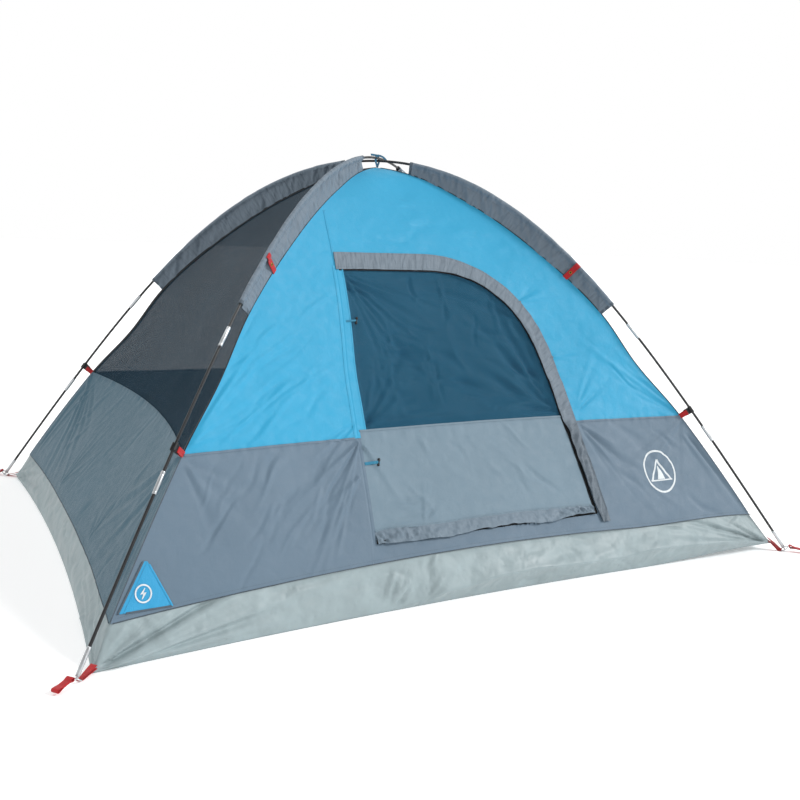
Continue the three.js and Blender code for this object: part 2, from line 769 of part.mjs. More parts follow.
const wallCut = prism(doorShape(DOOR_GAP, -HINGE_GAP));
add('front_upper_wall', toGeometry(toSolid(upperWall('front', 10, 18)).subtract(wallCut)), blueCloth);

// The lower cloth stands left of the hinge seam. Right of it the threshold and the right wall
// are one cut.
const beyond = 1300;
const lowerFront = toSolid(lowerWall('front', 14));
const hingeFootX = hingeX(TUB_CORNER_Z) - HINGE_GAP;
const leftHalf = prism(boxShape(-beyond, hingeFootX, 0, beyond));
const rightHalf = prism(boxShape(hingeFootX + SEAM_GAP, beyond, 0, beyond));
add('front_lower_left', toGeometry(lowerFront.intersect(leftHalf).subtract(wallCut)), greyCloth);
add('front_lower_right', toGeometry(lowerFront.intersect(rightHalf).subtract(wallCut)), greyCloth);

// Door: a solid lower panel, a mesh window and a privacy cover that hangs behind it.
const doorCut = prism(doorShape(-DOOR_GAP, HINGE_GAP));
const coverCut = prism(doorShape(-DOOR_GAP - COVER_INSET, HINGE_GAP + COVER_INSET));
function doorSheet(foot, top, thickness, lift, rows, cut) {
  const whole = frontSheet(HINGE_FOOT_X, DOOR_FOOT_X, foot, top, thickness, lift, 8, rows);
  return toGeometry(whole.intersect(cut));
}
add('door_lower_panel', doorSheet(DOOR_FOOT_Z, PANEL_TOP_Z, CLOTH, 0, 4, doorCut), greyCloth);
add('door_window', doorSheet(WINDOW_FOOT_Z, DOOR_TOP_Z, WINDOW_SHEET, 0, 6, doorCut), meshCloth);
const privacyCover = doorSheet(WINDOW_FOOT_Z, DOOR_TOP_Z, WINDOW_SHEET, COVER_LIFT, 6, coverCut);
add('door_privacy_cover', privacyCover, blueCloth);

// Storm flap over the zip, along the arch and the side.
const flapSheet = frontSheet(HINGE_FOOT_X, DOOR_FOOT_X + FLAP_WIDTH + 20,
  FLAP_FOOT_Z, DOOR_TOP_Z + FLAP_WIDTH + 5, FLAP_SHEET, FLAP_LIFT, 10, 14);
const flapOuter = prism(doorShape(FLAP_WIDTH, 0, FLAP_FOOT_Z));
const flapInner = prism(doorShape(-2, -60, FLAP_FOOT_Z - 60));
add('storm_flap', toGeometry(flapSheet.intersect(flapOuter).subtract(flapInner)), sleeveCloth);

// Zip along the door's foot, side and arch.
const zipSheet = frontSheet(HINGE_FOOT_X, DOOR_FOOT_X + 20,
  DOOR_FOOT_Z - 15, DOOR_TOP_Z + 15, ZIP_THICKNESS, 0, 10, 12);
const zipOuter = prism(doorShape(ZIP_HALF, HINGE_GAP));
const zipInner = prism(doorShape(-ZIP_HALF, -60));
add('door_zip', toGeometry(zipSheet.intersect(zipOuter).subtract(zipInner)), blackPlastic);

// Flap that hangs from the door over the zip at its foot.
const footFlap = frontSheet(HINGE_FOOT_X + 2 * HINGE_GAP, DOOR_FOOT_X - 2 * DOOR_GAP,
  DOOR_FOOT_Z - FOOT_FLAP_DROP, DOOR_FOOT_Z + FOOT_FLAP_RISE, FLAP_SHEET, FLAP_LIFT, 8, 1);
add('door_foot_flap', toGeometry(footFlap), greyCloth);

// ---------- small pieces on the door wall ----------

// A rounded block placed on the door wall: length along a direction in front view, width across it,
// and its thickness from one lift to another along the wall's normal.
function onFront(shape, x, z, along, from, to) {
  const at = frontPoint(x, z);
  const normal = frontNormal(x, z);
  const ahead = frontPoint(x + along[0], z + along[1]).sub(at).normalize();
  const across = normal.clone().cross(ahead).normalize();
  const forward = across.clone().cross(normal).normalize();
  const geometry = extrude(shape, to - from, 6);
  geometry.translate(0, 0, from);
  return geometry.applyMatrix4(new THREE.Matrix4().makeBasis(forward, across, normal).setPosition(at));
}

// Zip slider with its pull, behind the zip, its nose pointing along the zip.
function slider() {
  const shape = new THREE.Shape();
  shape.moveTo(-8, -4);
  shape.lineTo(6, -4);
  shape.quadraticCurveTo(9, -4, 9, 0);
  shape.quadraticCurveTo(9, 4, 6, 4);
  shape.lineTo(-8, 4);
  shape.lineTo(-8, 2);
  shape.lineTo(-26, 2);
  shape.lineTo(-26, -2);
  shape.lineTo(-8, -2);
  shape.closePath();
  return shape;
}

function zipSlider(name, x, z, along) {
  add(name, onFront(slider(), x, z, along, SLIDER_BACK, SLIDER_FRONT), blackPlastic);
}

zipSlider('zip_slider_foot', DOOR_FOOT_X - 16, DOOR_FOOT_Z, [-20, 0]);
zipSlider('zip_slider_side', DOOR_FOOT_X - 5, DOOR_FOOT_Z + SIDE_SLIDER_RISE,
  [DOOR_SIDE_X - DOOR_FOOT_X, DOOR_ARCH_Z - DOOR_FOOT_Z]);

// Tie-back: a ribbon loop with a toggle at its end, sewn in at the hinge seam and lying on the door.
function tieBack(length) {
  const ribbonHalf = 5;
  const toggle = 8;
  const toggleHalf = 15;
  const shape = new THREE.Shape();
  shape.moveTo(0, -ribbonHalf);
  shape.lineTo(length - toggle, -ribbonHalf);
  shape.lineTo(length - toggle, -toggleHalf);
  shape.quadraticCurveTo(length - toggle / 2, -toggleHalf - 3, length, -toggleHalf);
  shape.lineTo(length, toggleHalf);
  shape.quadraticCurveTo(length - toggle / 2, toggleHalf + 3, length - toggle, toggleHalf);
  shape.lineTo(length - toggle, ribbonHalf);
  shape.lineTo(0, ribbonHalf);
  shape.closePath();
  return shape;
}

for (const [name, { z, length }] of Object.entries(TIE_BACKS)) {
  const start = hingeX(z) + HINGE_GAP + 2;
  add(name, onFront(tieBack(length), start, z, [20, 0], RIBBON_BACK, RIBBON_FRONT), blackPlastic);
}

// Triangular flap of the cable port, low in the corner beside the front left leg.
const PORT_MARGIN = 4;
const PORT_LIFT = 3;
const PORT = { peakX: -1008, peakZ: 226, leftX: -1078, rightX: -952, footZ: 118 };
const portLeft = PORT.leftX - PORT_MARGIN;
const portRight = PORT.rightX + PORT_MARGIN;
const portTop = PORT.peakZ + PORT_MARGIN / 2;
const portSheet = frontSheet(portLeft, portRight, PORT.footZ, portTop, FLAP_SHEET, PORT_LIFT, 3, 3);
const portShape = new THREE.Shape();
portShape.moveTo(PORT.leftX, PORT.footZ + 2);
portShape.lineTo(PORT.rightX, PORT.footZ + 2);
portShape.lineTo(PORT.peakX, PORT.peakZ);
portShape.closePath();
add('cable_port_flap', toGeometry(portSheet.intersect(prism(portShape))), blueCloth);

export default model;
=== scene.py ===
import math

import bpy
import numpy as np
from mathutils import Matrix, Vector
from mathutils.kdtree import KDTree


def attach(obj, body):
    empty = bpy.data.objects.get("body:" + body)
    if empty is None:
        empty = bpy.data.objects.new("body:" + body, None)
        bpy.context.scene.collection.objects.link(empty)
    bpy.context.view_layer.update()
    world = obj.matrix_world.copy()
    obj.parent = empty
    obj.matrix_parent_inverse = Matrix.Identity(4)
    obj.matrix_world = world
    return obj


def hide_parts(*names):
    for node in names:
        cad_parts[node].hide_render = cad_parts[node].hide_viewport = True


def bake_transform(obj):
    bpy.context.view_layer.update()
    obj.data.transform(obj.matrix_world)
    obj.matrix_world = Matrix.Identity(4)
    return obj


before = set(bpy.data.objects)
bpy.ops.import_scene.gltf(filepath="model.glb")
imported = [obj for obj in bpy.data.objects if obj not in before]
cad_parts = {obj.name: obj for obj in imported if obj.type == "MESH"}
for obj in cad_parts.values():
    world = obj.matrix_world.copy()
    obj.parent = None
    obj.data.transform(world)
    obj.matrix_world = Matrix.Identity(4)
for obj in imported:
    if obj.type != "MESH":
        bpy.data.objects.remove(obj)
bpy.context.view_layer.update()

ROOT = "tent"
DOOR = "door"

# ---------- camera ----------

CAMERA_PLACE = (-1.478, -3.007, 1.068)
CAMERA_AZIMUTH = math.radians(-28.18)
CAMERA_ELEVATION = math.radians(10.63)
CAMERA_ROLL = math.radians(2.39)


def add_camera():
    azimuth, elevation = CAMERA_AZIMUTH, CAMERA_ELEVATION
    back = Vector((
        math.sin(azimuth) * math.cos(elevation),
        -math.cos(azimuth) * math.cos(elevation),
        math.sin(elevation),
    ))
    right = Vector((math.cos(azimuth), math.sin(azimuth), 0))
    up = back.cross(right)
    across = math.cos(CAMERA_ROLL) * right + math.sin(CAMERA_ROLL) * up
    upward = back.cross(across)
    data = bpy.data.cameras.new("camera")
    data.sensor_width = 36
    data.lens = 40.6
    data.clip_end = 100
    camera = bpy.data.objects.new("camera", data)
    basis = Matrix((across, upward, back)).transposed().to_4x4()
    camera.matrix_world = Matrix.Translation(CAMERA_PLACE) @ basis
    bpy.context.scene.collection.objects.link(camera)
    bpy.context.scene.camera = camera


add_camera()

# ---------- driving dimensions, as in the CAD source unless a comment says otherwise ----------

FOOT_X, FOOT_Y, FOOT_Z = 1.2, 0.95, 0.014
CROSS_Z = 1.32
POLE_DROP = 0.0095
STEEPEST = math.radians(53.6)
BEND_ARC = 0.754
POLE_R, FERRULE_R, FERRULE_HALF = 0.00425, 0.006, 0.032
FIRST_FERRULE, SECTION_PITCH, FERRULES_PER_SIDE = 0.497, 0.451, 4
TIP_R, TIP_LENGTH = 0.0055, 0.072
CLIP_ARC, SLEEVE_START, SLEEVE_END, GUY_TAB_ARC = 0.600, 1.063, 1.959, 1.250
EDGE_INSET = [
    (0, 0.052), (0.144, 0.038), (0.600, 0.045), (0.840, 0.064), (1.063, 0.052),
    (1.440, 0.070), (1.728, 0.068), (1.920, 0.048), (2.080, 0.033),
]
SAG_LONG = [
    (0, 0.050), (0.060, 0.025), (0.150, 0.008), (0.455, 0.050), (0.800, 0.062), (1.100, 0.045), (1.290, 0),
]
SAG_SHORT = [
    (0, 0.040), (0.060, 0.025), (0.150, 0.020), (0.455, 0.070), (0.800, 0.080), (1.100, 0.055), (1.290, 0),
]
SEAM_Z = 0.460
PEAK_R = 0.012
FLOOR_CORNER_R = 1.484  # 16 mm further out than in the CAD
TUB_CORNER_Z, TUB_RISE_LONG, TUB_RISE_SHORT = 0.105, 0.047, 0.012
HINGE_FOOT_X, HINGE_TOP_X = -0.376, -0.322
DOOR_FOOT_Z, DOOR_TOP_Z = 0.195, 0.947
DOOR_FOOT_X, DOOR_SIDE_X, DOOR_ARCH_Z, ARCH_END_X = 0.428, 0.400, 0.520, 0.020
DOOR_GAP, HINGE_GAP = 0.006, 0.008
FLAP_WIDTH, FLAP_FOOT_Z = 0.044, 0.168
WINDOW_FOOT_Z = 0.479
COVER_LIFT = -0.005
WEBBING_WIDTH, WEBBING = 0.020, 0.0016
RING_R, RING_ARC = 0.015, -0.0045
LOOP_LENGTH = 0.074

FOOT_R = math.hypot(FOOT_X, FOOT_Y)
COS, SIN = FOOT_X / FOOT_R, FOOT_Y / FOOT_R
SIDES = ["front", "right", "back", "left"]
CORNERS = {
    "front_left": np.array([-COS, -SIN, 0]),
    "front_right": np.array([COS, -SIN, 0]),
    "back_right": np.array([COS, SIN, 0]),
    "back_left": np.array([-COS, SIN, 0]),
}
UP = np.array([0.0, 0.0, 1.0])

# ---------- curves ----------


def unit(v):
    return v / np.maximum(np.linalg.norm(v, axis=-1, keepdims=True), 1e-12)


def smooth(x, low, high):
    """0 below low, 1 above high, and an even turn between."""
    t = np.clip((np.asarray(x, float) - low) / (high - low), 0, 1)
    return t * t * (3 - 2 * t)


def through(knots, x):
    """Smooth curve through (x, y) knots, level beyond the ends."""
    kx, ky = np.array(knots, float).T
    slope = np.empty_like(ky)
    slope[1:-1] = (ky[2:] - ky[:-2]) / (kx[2:] - kx[:-2])
    slope[0] = (ky[1] - ky[0]) / (kx[1] - kx[0])
    slope[-1] = (ky[-1] - ky[-2]) / (kx[-1] - kx[-2])
    x = np.clip(x, kx[0], kx[-1])
    i = np.clip(np.searchsorted(kx, x, "right") - 1, 0, len(kx) - 2)
    width = kx[i + 1] - kx[i]
    t = (x - kx[i]) / width
    rest = 1 - t
    level = (1 + 2 * t) * rest**2 * ky[i] + t**2 * (3 - 2 * t) * ky[i + 1]
    return level + width * t * rest * (rest * slope[i] - t * slope[i + 1])


HALF_STEP = 0.004
HALF_S = np.arange(0, 2.3, HALF_STEP)
HALF_SLOPE = STEEPEST * np.tanh((HALF_S[:-1] + HALF_STEP / 2) / BEND_ARC)
HALF_R = np.concatenate([[0], np.cumsum(HALF_STEP * np.cos(HALF_SLOPE))])
HALF_FALLS = np.concatenate([[0], np.cumsum(HALF_STEP * np.sin(HALF_SLOPE))])
HALF_ARC = float(np.interp(FOOT_R, HALF_R, HALF_S))
HALF_FALL = float(np.interp(HALF_ARC, HALF_S, HALF_FALLS))

POLES = {"a": (CORNERS["front_left"], CROSS_Z), "b": (CORNERS["front_right"], CROSS_Z - POLE_DROP)}
LEGS = {
    "front_left": ("a", False),
    "front_right": ("b", False),
    "back_right": ("a", True),
    "back_left": ("b", True),
}


def pole_point(pole, arc):
    direction, crossing = POLES[pole]
    s = np.abs(HALF_ARC - arc)
    radius = np.sign(HALF_ARC - arc) * np.interp(s, HALF_S, HALF_R)
    height = crossing - np.interp(s, HALF_S, HALF_FALLS) * (crossing - FOOT_Z) / HALF_FALL
    return radius[..., None] * direction + height[..., None] * UP


def pole_frame(pole, arc):
    """Points, tangents, outward normals and sideways directions at arcs along a pole."""
    arc = np.atleast_1d(np.asarray(arc, float))
    tangent = unit(pole_point(pole, arc + 0.002) - pole_point(pole, arc - 0.002))
    side = unit(np.cross(UP, POLES[pole][0]))
    normal = unit(np.cross(np.broadcast_to(side, tangent.shape), tangent))
    normal = normal * np.sign(normal[:, 2:3])
    return pole_point(pole, arc), tangent, normal, np.broadcast_to(side, tangent.shape)


def leg_frame(corner, arc):
    """The same on a leg, at arcs from its own foot, with the tangent up the leg."""
    pole, far = LEGS[corner]
    arc = np.atleast_1d(np.asarray(arc, float))
    at, tangent, normal, side = pole_frame(pole, 2 * HALF_ARC - arc if far else arc)
    return at, -tangent if far else tangent, normal, side


def corner_edge():
    arcs = np.arange(HALF_ARC, -0.02, -0.006)
    at, _, normal, _ = leg_frame("front_left", arcs)
    edge = at - normal * through(EDGE_INSET, arcs)[:, None]
    z, r = edge[:, 2], np.hypot(edge[:, 0], edge[:, 1])
    keep = np.concatenate([[True], z[1:] < np.minimum.accumulate(z)[:-1]])
    return z[keep], r[keep]


EDGE_Z, EDGE_R = corner_edge()
PEAK_Z = float(np.interp(PEAK_R, EDGE_R, EDGE_Z))


def edge_radius(z):
    return np.interp(z, EDGE_Z[::-1], EDGE_R[::-1])


def edge_heights(low, high, step):
    """Heights of even steps along the corner edge."""
    run = np.concatenate([[0], np.cumsum(np.hypot(np.diff(EDGE_Z), np.diff(EDGE_R)))])
    start, end = np.interp([low, high], EDGE_Z[::-1], run[::-1])
    count = int(math.ceil(abs(start - end) / step)) + 1
    return np.interp(np.linspace(start, end, count), run, EDGE_Z)


# ---------- folds of the cloth ----------


def noise(x, y, seed):
    """Smooth noise from -1 to 1, about one swell a unit."""
    table = np.random.default_rng(seed).uniform(-1, 1, (64, 64))
    ix, iy = np.floor(x).astype(int), np.floor(y).astype(int)
    fx, fy = x - ix, y - iy
    sx = fx**3 * (fx * (6 * fx - 15) + 10)
    sy = fy**3 * (fy * (6 * fy - 15) + 10)
    a, b = table[ix % 64, iy % 64], table[(ix + 1) % 64, iy % 64]
    c, d = table[ix % 64, (iy + 1) % 64], table[(ix + 1) % 64, (iy + 1) % 64]
    return (a * (1 - sx) + b * sx) * (1 - sy) + (c * (1 - sx) + d * sx) * sy


def fold(x, z, start, end, width, height, tied=True):
    """A ridge from start to end with a shallow valley on both sides. A tied one is sharpest at its start."""
    dx, dz = end[0] - start[0], end[1] - start[1]
    length = math.hypot(dx, dz)
    t = ((x - start[0]) * dx + (z - start[1]) * dz) / length**2
    off = ((x - start[0]) * dz - (z - start[1]) * dx) / length
    inside = (t > 0) & (t < 1)
    t = np.clip(t, 1e-4, 1 - 1e-4)
    if tied:
        q = off / (width * (0.35 + 1.1 * t))
        swell = t**0.3 * (1 - t)**1.1 * 1.9
    else:
        bend = 0.5 * width * np.sin(7 * t + start[0] * 40)
        q = (off + bend) / width
        swell = np.sin(np.pi * t)
    return np.where(inside, height * swell * (1 - 0.55 * q * q) * np.exp(-0.75 * q * q), 0)


def fan(x, z, start, angles, count, length, width, height, seed):
    """Folds that spread from one point, at angles in degrees from +x."""
    rng = np.random.default_rng(seed)
    total = np.zeros(np.broadcast(x, z).shape)
    for i in range(count):
        share = (i + rng.uniform(0.15, 0.85)) / count
        angle = math.radians(angles[0] + (angles[1] - angles[0]) * share)
        run = length * rng.uniform(0.55, 1.1)
        end = (start[0] + run * math.cos(angle), start[1] + run * math.sin(angle))
        sign = 1 if rng.uniform() < 0.6 else -0.8
        total += fold(x, z, start, end, width * rng.uniform(0.7, 1.3), sign * height * rng.uniform(0.5, 1.1))
    return total


def creases(x, z, box, angle, count, length, width, height, seed):
    """Loose folds scattered over a box, all about the same way."""
    rng = np.random.default_rng(seed)
    total = np.zeros(np.broadcast(x, z).shape)
    for _ in range(count):
        middle = (rng.uniform(box[0], box[1]), rng.uniform(box[2], box[3]))
        turn = math.radians(angle + rng.uniform(-9, 9))
        run = length * rng.uniform(0.5, 1.2) / 2
        step = (run * math.cos(turn), run * math.sin(turn))
        start = (middle[0] - step[0], middle[1] - step[1])
        end = (middle[0] + step[0], middle[1] + step[1])
        sign = rng.choice([-1, 1])
        total += fold(x, z, start, end, width * rng.uniform(0.7, 1.4),
                      sign * height * rng.uniform(0.4, 1.1), tied=False)
    return total


def puckers(away, along, reach, pitch, height, seed):
    """Small gathers beside a seam: away is the distance from it, along the place on it."""
    return height * noise(along / pitch, away / (3 * pitch), seed) * np.exp(-(away / reach) ** 2)


def half_width(z, long):
    return edge_radius(z) * (COS if long else SIN)


def hinge_x(z):
    return HINGE_FOOT_X + (HINGE_TOP_X - HINGE_FOOT_X) * (z - DOOR_FOOT_Z) / (DOOR_TOP_Z - DOOR_FOOT_Z)


def clip_place(long):
    """The clip on a wall's right-hand edge, in the wall's own front view."""
    at, _, normal, _ = leg_frame("front_right", CLIP_ARC)
    edge = (at - normal * through(EDGE_INSET, CLIP_ARC))[0]
    return half_width(edge[2], long), edge[2]


CORNER_LIFT = 0.024


def corner_lift(side, u):
    """The strap holds the tub's front right corner off the ground."""
    if side == "front":
        return CORNER_LIFT * smooth(u, 0.50, 1.0)
    if side == "right":
        return CORNER_LIFT * (1 - smooth(u, -1.0, -0.50))
    return 0 * u


def tub_height(side, u):
    rise = TUB_RISE_LONG if side in ("front", "back") else TUB_RISE_SHORT
    return TUB_CORNER_Z + rise * (1 - u * u) + corner_lift(side, u)


def front_folds(x, z):
    clip_x, clip_z = clip_place(True)
    seam_x = hinge_x(SEAM_Z)
    # where each starts, its angles, how many, their length, width and height, and the seed
    fans = [
        ((-clip_x, clip_z + 0.01), (15, 62), 9, 0.55, 0.012, 0.0034, 1),
        ((-clip_x, clip_z - 0.01), (-75, -20), 7, 0.34, 0.014, 0.0022, 2),
        ((clip_x, clip_z + 0.01), (118, 168), 8, 0.42, 0.012, 0.0028, 3),
        ((clip_x, clip_z - 0.01), (196, 252), 7, 0.45, 0.014, 0.0026, 4),
        ((seam_x, SEAM_Z - 0.01), (205, 246), 10, 0.42, 0.010, 0.0030, 5),
        ((seam_x - 0.02, SEAM_Z - 0.10), (205, 235), 6, 0.36, 0.010, 0.0024, 6),
        ((seam_x, SEAM_Z + 0.04), (196, 222), 5, 0.30, 0.010, 0.0026, 7),
        ((seam_x + 0.01, SEAM_Z - 0.02), (-62, -35), 6, 0.20, 0.008, 0.0022, 8),
        ((DOOR_SIDE_X + 0.06, SEAM_Z - 0.01), (-70, -22), 7, 0.30, 0.010, 0.0030, 9),
        ((DOOR_SIDE_X + 0.06, SEAM_Z + 0.03), (20, 60), 5, 0.30, 0.010, 0.0020, 10),
        ((0.415, 0.66), (-8, 26), 7, 0.16, 0.007, 0.0024, 11),
        ((0.330, 0.84), (8, 40), 6, 0.17, 0.007, 0.0022, 12),
        ((-0.20, 0.225), (25, 80), 5, 0.14, 0.008, 0.0026, 20),
    ]
    # the box they lie in, their angle, how many, their length, width and height, and the seed
    short_creases = [
        ((-0.80, -0.42, 0.20, 0.44), 44, 16, 0.16, 0.008, 0.0018, 13),
        ((-0.22, 0.33, 0.25, 0.45), -42, 15, 0.13, 0.008, 0.0020, 14),
        ((0.52, 0.92, 0.16, 0.44), -36, 14, 0.22, 0.010, 0.0020, 15),
        ((0.46, 0.86, 0.47, 0.75), -38, 9, 0.20, 0.008, 0.0018, 16),
        ((-0.75, -0.42, 0.50, 0.90), 38, 10, 0.22, 0.010, 0.0018, 17),
        ((-0.25, 0.60, 1.00, 1.15), 12, 8, 0.30, 0.014, 0.0016, 18),
        ((-0.34, -0.15, 0.215, 0.30), 3, 8, 0.16, 0.007, 0.0022, 19),
        ((-0.95, -0.50, 0.50, 0.72), 28, 14, 0.30, 0.007, 0.0017, 330),
        ((-0.85, -0.42, 0.18, 0.44), 50, 14, 0.20, 0.007, 0.0019, 331),
    ]
    h = sum(fan(x, z, *row) for row in fans) + sum(creases(x, z, *row) for row in short_creases)
    # a slack pocket along the right-hand edge, low down
    h += fold(x, z, (0.900, 0.400), (1.085, 0.130), 0.012, -0.0050)
    h += fold(x, z, (0.880, 0.400), (1.050, 0.135), 0.016, 0.0030)
    seam = np.abs(z - SEAM_Z)
    h += puckers(seam, x, 0.020, 0.016, 0.0007, 21)
    zip_away = np.abs(x - zip_x(z, 0.03))
    h += puckers(zip_away, z, 0.050, 0.020, 0.0012, 22) * smooth(z, 0.16, 0.22)
    return h


def side_folds(x, z, seed):
    """Folds of a short wall or the back, in its own front view."""
    clip_x, clip_z = clip_place(seed == 40)
    h = np.zeros(np.broadcast(x, z).shape)
    for way in (-1, 1):
        across = x * way
        h += fan(across, z, (-clip_x, clip_z), (-68, -25), 12, 0.52, 0.012, 0.0042, seed + 1 + way)
        h += fan(across, z, (-clip_x, clip_z + 0.01), (5, 60), 7, 0.55, 0.014, 0.0022, seed + 5 + way)
        edge = half_width(z, seed == 40) - across
        for away, height in ((0.030, 0.0022), (0.052, -0.0018), (0.085, 0.0024), (0.125, 0.0014)):
            swell = smooth(z, 0.12, 0.2) * (1 - smooth(z, 0.38, 0.46))
            wave = 0.008 * np.sin(z * 14 + away * 60)
            h += height * swell * np.exp(-(((edge - away + wave) / 0.009) ** 2))
    h += fan(x, z, (0.35, 0.135), (28, 150), 6, 0.20, 0.007, 0.0026, seed + 9)
    h += fan(x, z, (-0.25, 0.135), (40, 150), 7, 0.24, 0.008, 0.0024, seed + 10)
    h += creases(x, z, (-0.7, 0.7, 0.15, 0.42), 62, 14, 0.20, 0.010, 0.0020, seed + 11)
    h += creases(x, z, (-0.5, 0.5, 0.50, 1.00), 78, 10, 0.30, 0.014, 0.0020, seed + 12)
    h += puckers(np.abs(z - SEAM_Z), x, 0.022, 0.018, 0.0009, seed + 13)
    return h


SIDE_SEEDS = {"right": 60, "back": 40, "left": 80}


def slack(side, x, z):
    """How far the cloth stands off its even surface."""
    long = side in ("front", "back")
    edge = half_width(z, long) - np.abs(x)
    h = 1.45 * front_folds(x, z) if side == "front" else 1.2 * side_folds(x, z, SIDE_SEEDS[side])
    seed = 200 + SIDES.index(side)
    broad = 0.0030 * noise(x * 4.1 + 3, z * 4.7, seed) + 0.0014 * noise(x * 11, z * 12.5, seed + 10)
    fine = 0.0004 * noise(x * 42, z * 42, seed + 20)
    return (h + fine) * smooth(edge, 0, 0.022) + broad * smooth(edge, 0, 0.12)


# ---------- the wall surface ----------


def turned(points, side):
    angle = SIDES.index(side) * math.pi / 2
    c, s = round(math.cos(angle)), round(math.sin(angle))
    x, y = points[..., 0], points[..., 1]
    return np.stack([x * c - y * s, x * s + y * c, points[..., 2]], -1)


def even(side, x, z):
    """Point of a wall in its own front view, without folds."""
    long = side in ("front", "back")
    radius = edge_radius(z)
    half = radius * (COS if long else SIN)
    out = radius * (SIN if long else COS)
    sag = through(SAG_LONG if long else SAG_SHORT, z)
    share = np.clip(x / np.maximum(half, 1e-6), -1.2, 1.2)
    return np.stack([x, sag * (1 - share * share) - out, z], -1)


def wall_normal(side, x, z):
    d = 1e-3
    across = even(side, x + d, z) - even(side, x - d, z)
    up = even(side, x, z + d) - even(side, x, z - d)
    return unit(np.cross(across, up))


def wall(side, x, z, lift=0.0):
    x, z = np.broadcast_arrays(np.asarray(x, float), np.asarray(z, float))
    off = slack(side, x, z) + lift
    return turned(even(side, x, z) + wall_normal(side, x, z) * off[..., None], side)


def arch(grow, count=60):
    """The arch of the zip in front view, from the top of its straight side up to its level top."""
    t = np.linspace(0, 1, count)[:, None]
    top, side = DOOR_TOP_Z + grow, DOOR_SIDE_X + grow
    points = [
        (side, DOOR_ARCH_Z), (side - 0.008, DOOR_ARCH_Z + 0.250 + grow / 2),
        (0.265 + grow / 2, top), (ARCH_END_X, top),
    ]
    a, b, c, d = (np.array(p) for p in points)
    return a * (1 - t)**3 + 3 * b * t * (1 - t)**2 + 3 * c * t**2 * (1 - t) + d * t**3


def zip_x(z, grow=0.0):
    """Where the zip's line, grown outwards, stands at a height."""
    curve = arch(grow)
    z = np.asarray(z, float)
    lean = (DOOR_FOOT_X - DOOR_SIDE_X) * (DOOR_ARCH_Z - z) / (DOOR_ARCH_Z - DOOR_FOOT_Z)
    straight = DOOR_SIDE_X + grow + lean
    return np.where(z < DOOR_ARCH_Z, straight, np.interp(z, curve[:, 1], curve[:, 0]))


def zip_line(grow, foot, step=0.004, hinge_shift=0.0):
    """The zip's line in front view from the hinge at the top, round the arch, down to a foot height."""
    curve = arch(grow)[::-1]
    top = DOOR_TOP_Z + grow
    start = np.array([[hinge_x(top) + hinge_shift, top]])
    end = np.array([[zip_x(foot, grow), foot]])
    line = np.concatenate([start, curve, end])
    run = np.concatenate([[0], np.cumsum(np.linalg.norm(np.diff(line, axis=0), axis=1))])
    places = np.linspace(0, run[-1], int(run[-1] / step) + 1)
    return np.stack([np.interp(places, run, line[:, i]) for i in (0, 1)], -1)


# ---------- meshes ----------


def grid_faces(rows, columns, wrap=False, wrap_rows=False):
    index = np.arange(rows * columns).reshape(rows, columns)
    if wrap_rows:
        index = np.concatenate([index, index[:1]])
    if wrap:
        index = np.column_stack([index, index[:, :1]])
    return np.stack([index[:-1, :-1], index[:-1, 1:], index[1:, 1:], index[1:, :-1]], -1).reshape(-1, 4)


def lay_out(points):
    """Texture coordinates in metres for a grid of points."""
    across = np.linalg.norm(np.diff(points, axis=1), axis=2)
    up = np.linalg.norm(np.diff(points, axis=0), axis=2)
    u = np.concatenate([np.zeros((len(points), 1)), np.cumsum(across, 1)], 1)
    u = u - u.mean(axis=1, keepdims=True)
    v = np.concatenate([np.zeros((1, points.shape[1])), np.cumsum(up, 0)], 0).mean(axis=1, keepdims=True)
    return np.stack([u, np.broadcast_to(v, u.shape)], -1).reshape(-1, 2)


def new_piece(name, points, faces, look, body=ROOT, uv=None, smooth_shade=True):
    """A mesh object that rides on a body, or on none."""
    mesh = bpy.data.meshes.new(name)
    mesh.from_pydata(np.asarray(points, float).reshape(-1, 3).tolist(), [], [list(f) for f in faces])
    mesh.validate()
    if uv is not None:
        corner = np.zeros(len(mesh.loops), int)
        mesh.loops.foreach_get("vertex_index", corner)
        layer = mesh.uv_layers.new(name="cloth")
        layer.data.foreach_set("uv", np.asarray(uv, float)[corner].astype(np.float32).ravel())
    mesh.polygons.foreach_set("use_smooth", [smooth_shade] * len(mesh.polygons))
    mesh.materials.append(look.material)
    piece = bpy.data.objects.new(name, mesh)
    bpy.context.scene.collection.objects.link(piece)
    if body:
        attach(piece, body)
    return piece


def grid_piece(name, points, look, body=ROOT):
    return new_piece(name, points, grid_faces(*points.shape[:2]), look, body, uv=lay_out(points))


def area_of(points):
    a, b = np.diff(points, axis=1)[:-1], np.diff(points, axis=0)[:, :-1]
    return float(np.linalg.norm(np.cross(a, b), axis=-1).sum())


def flat_of(points):
    """Width and length of a grid of cloth laid flat, and its area."""
    width = float(np.linalg.norm(np.diff(points, axis=1), axis=2).sum(1).max())
    length = float(np.linalg.norm(np.diff(points, axis=0), axis=2).sum(0).max())
    return (width, length), min(area_of(points), width * length)


def declare(points):
    """Works out the laid-flat width and length of a grid of cloth, rounded; nothing uses them."""
    (width, length), area = flat_of(points)
    width, length = round(width, 3) + 0.001, round(length, 3) + 0.001


def sweep(path, across, normal, section):
    """Grid of points: a closed section of (across, normal) offsets carried along a path."""
    section = np.asarray(section, float)
    if section.ndim == 2:
        section = np.broadcast_to(section, (len(path), *section.shape))
    return (path[:, None, :] + section[..., :1] * across[:, None, :] + section[..., 1:] * normal[:, None, :])


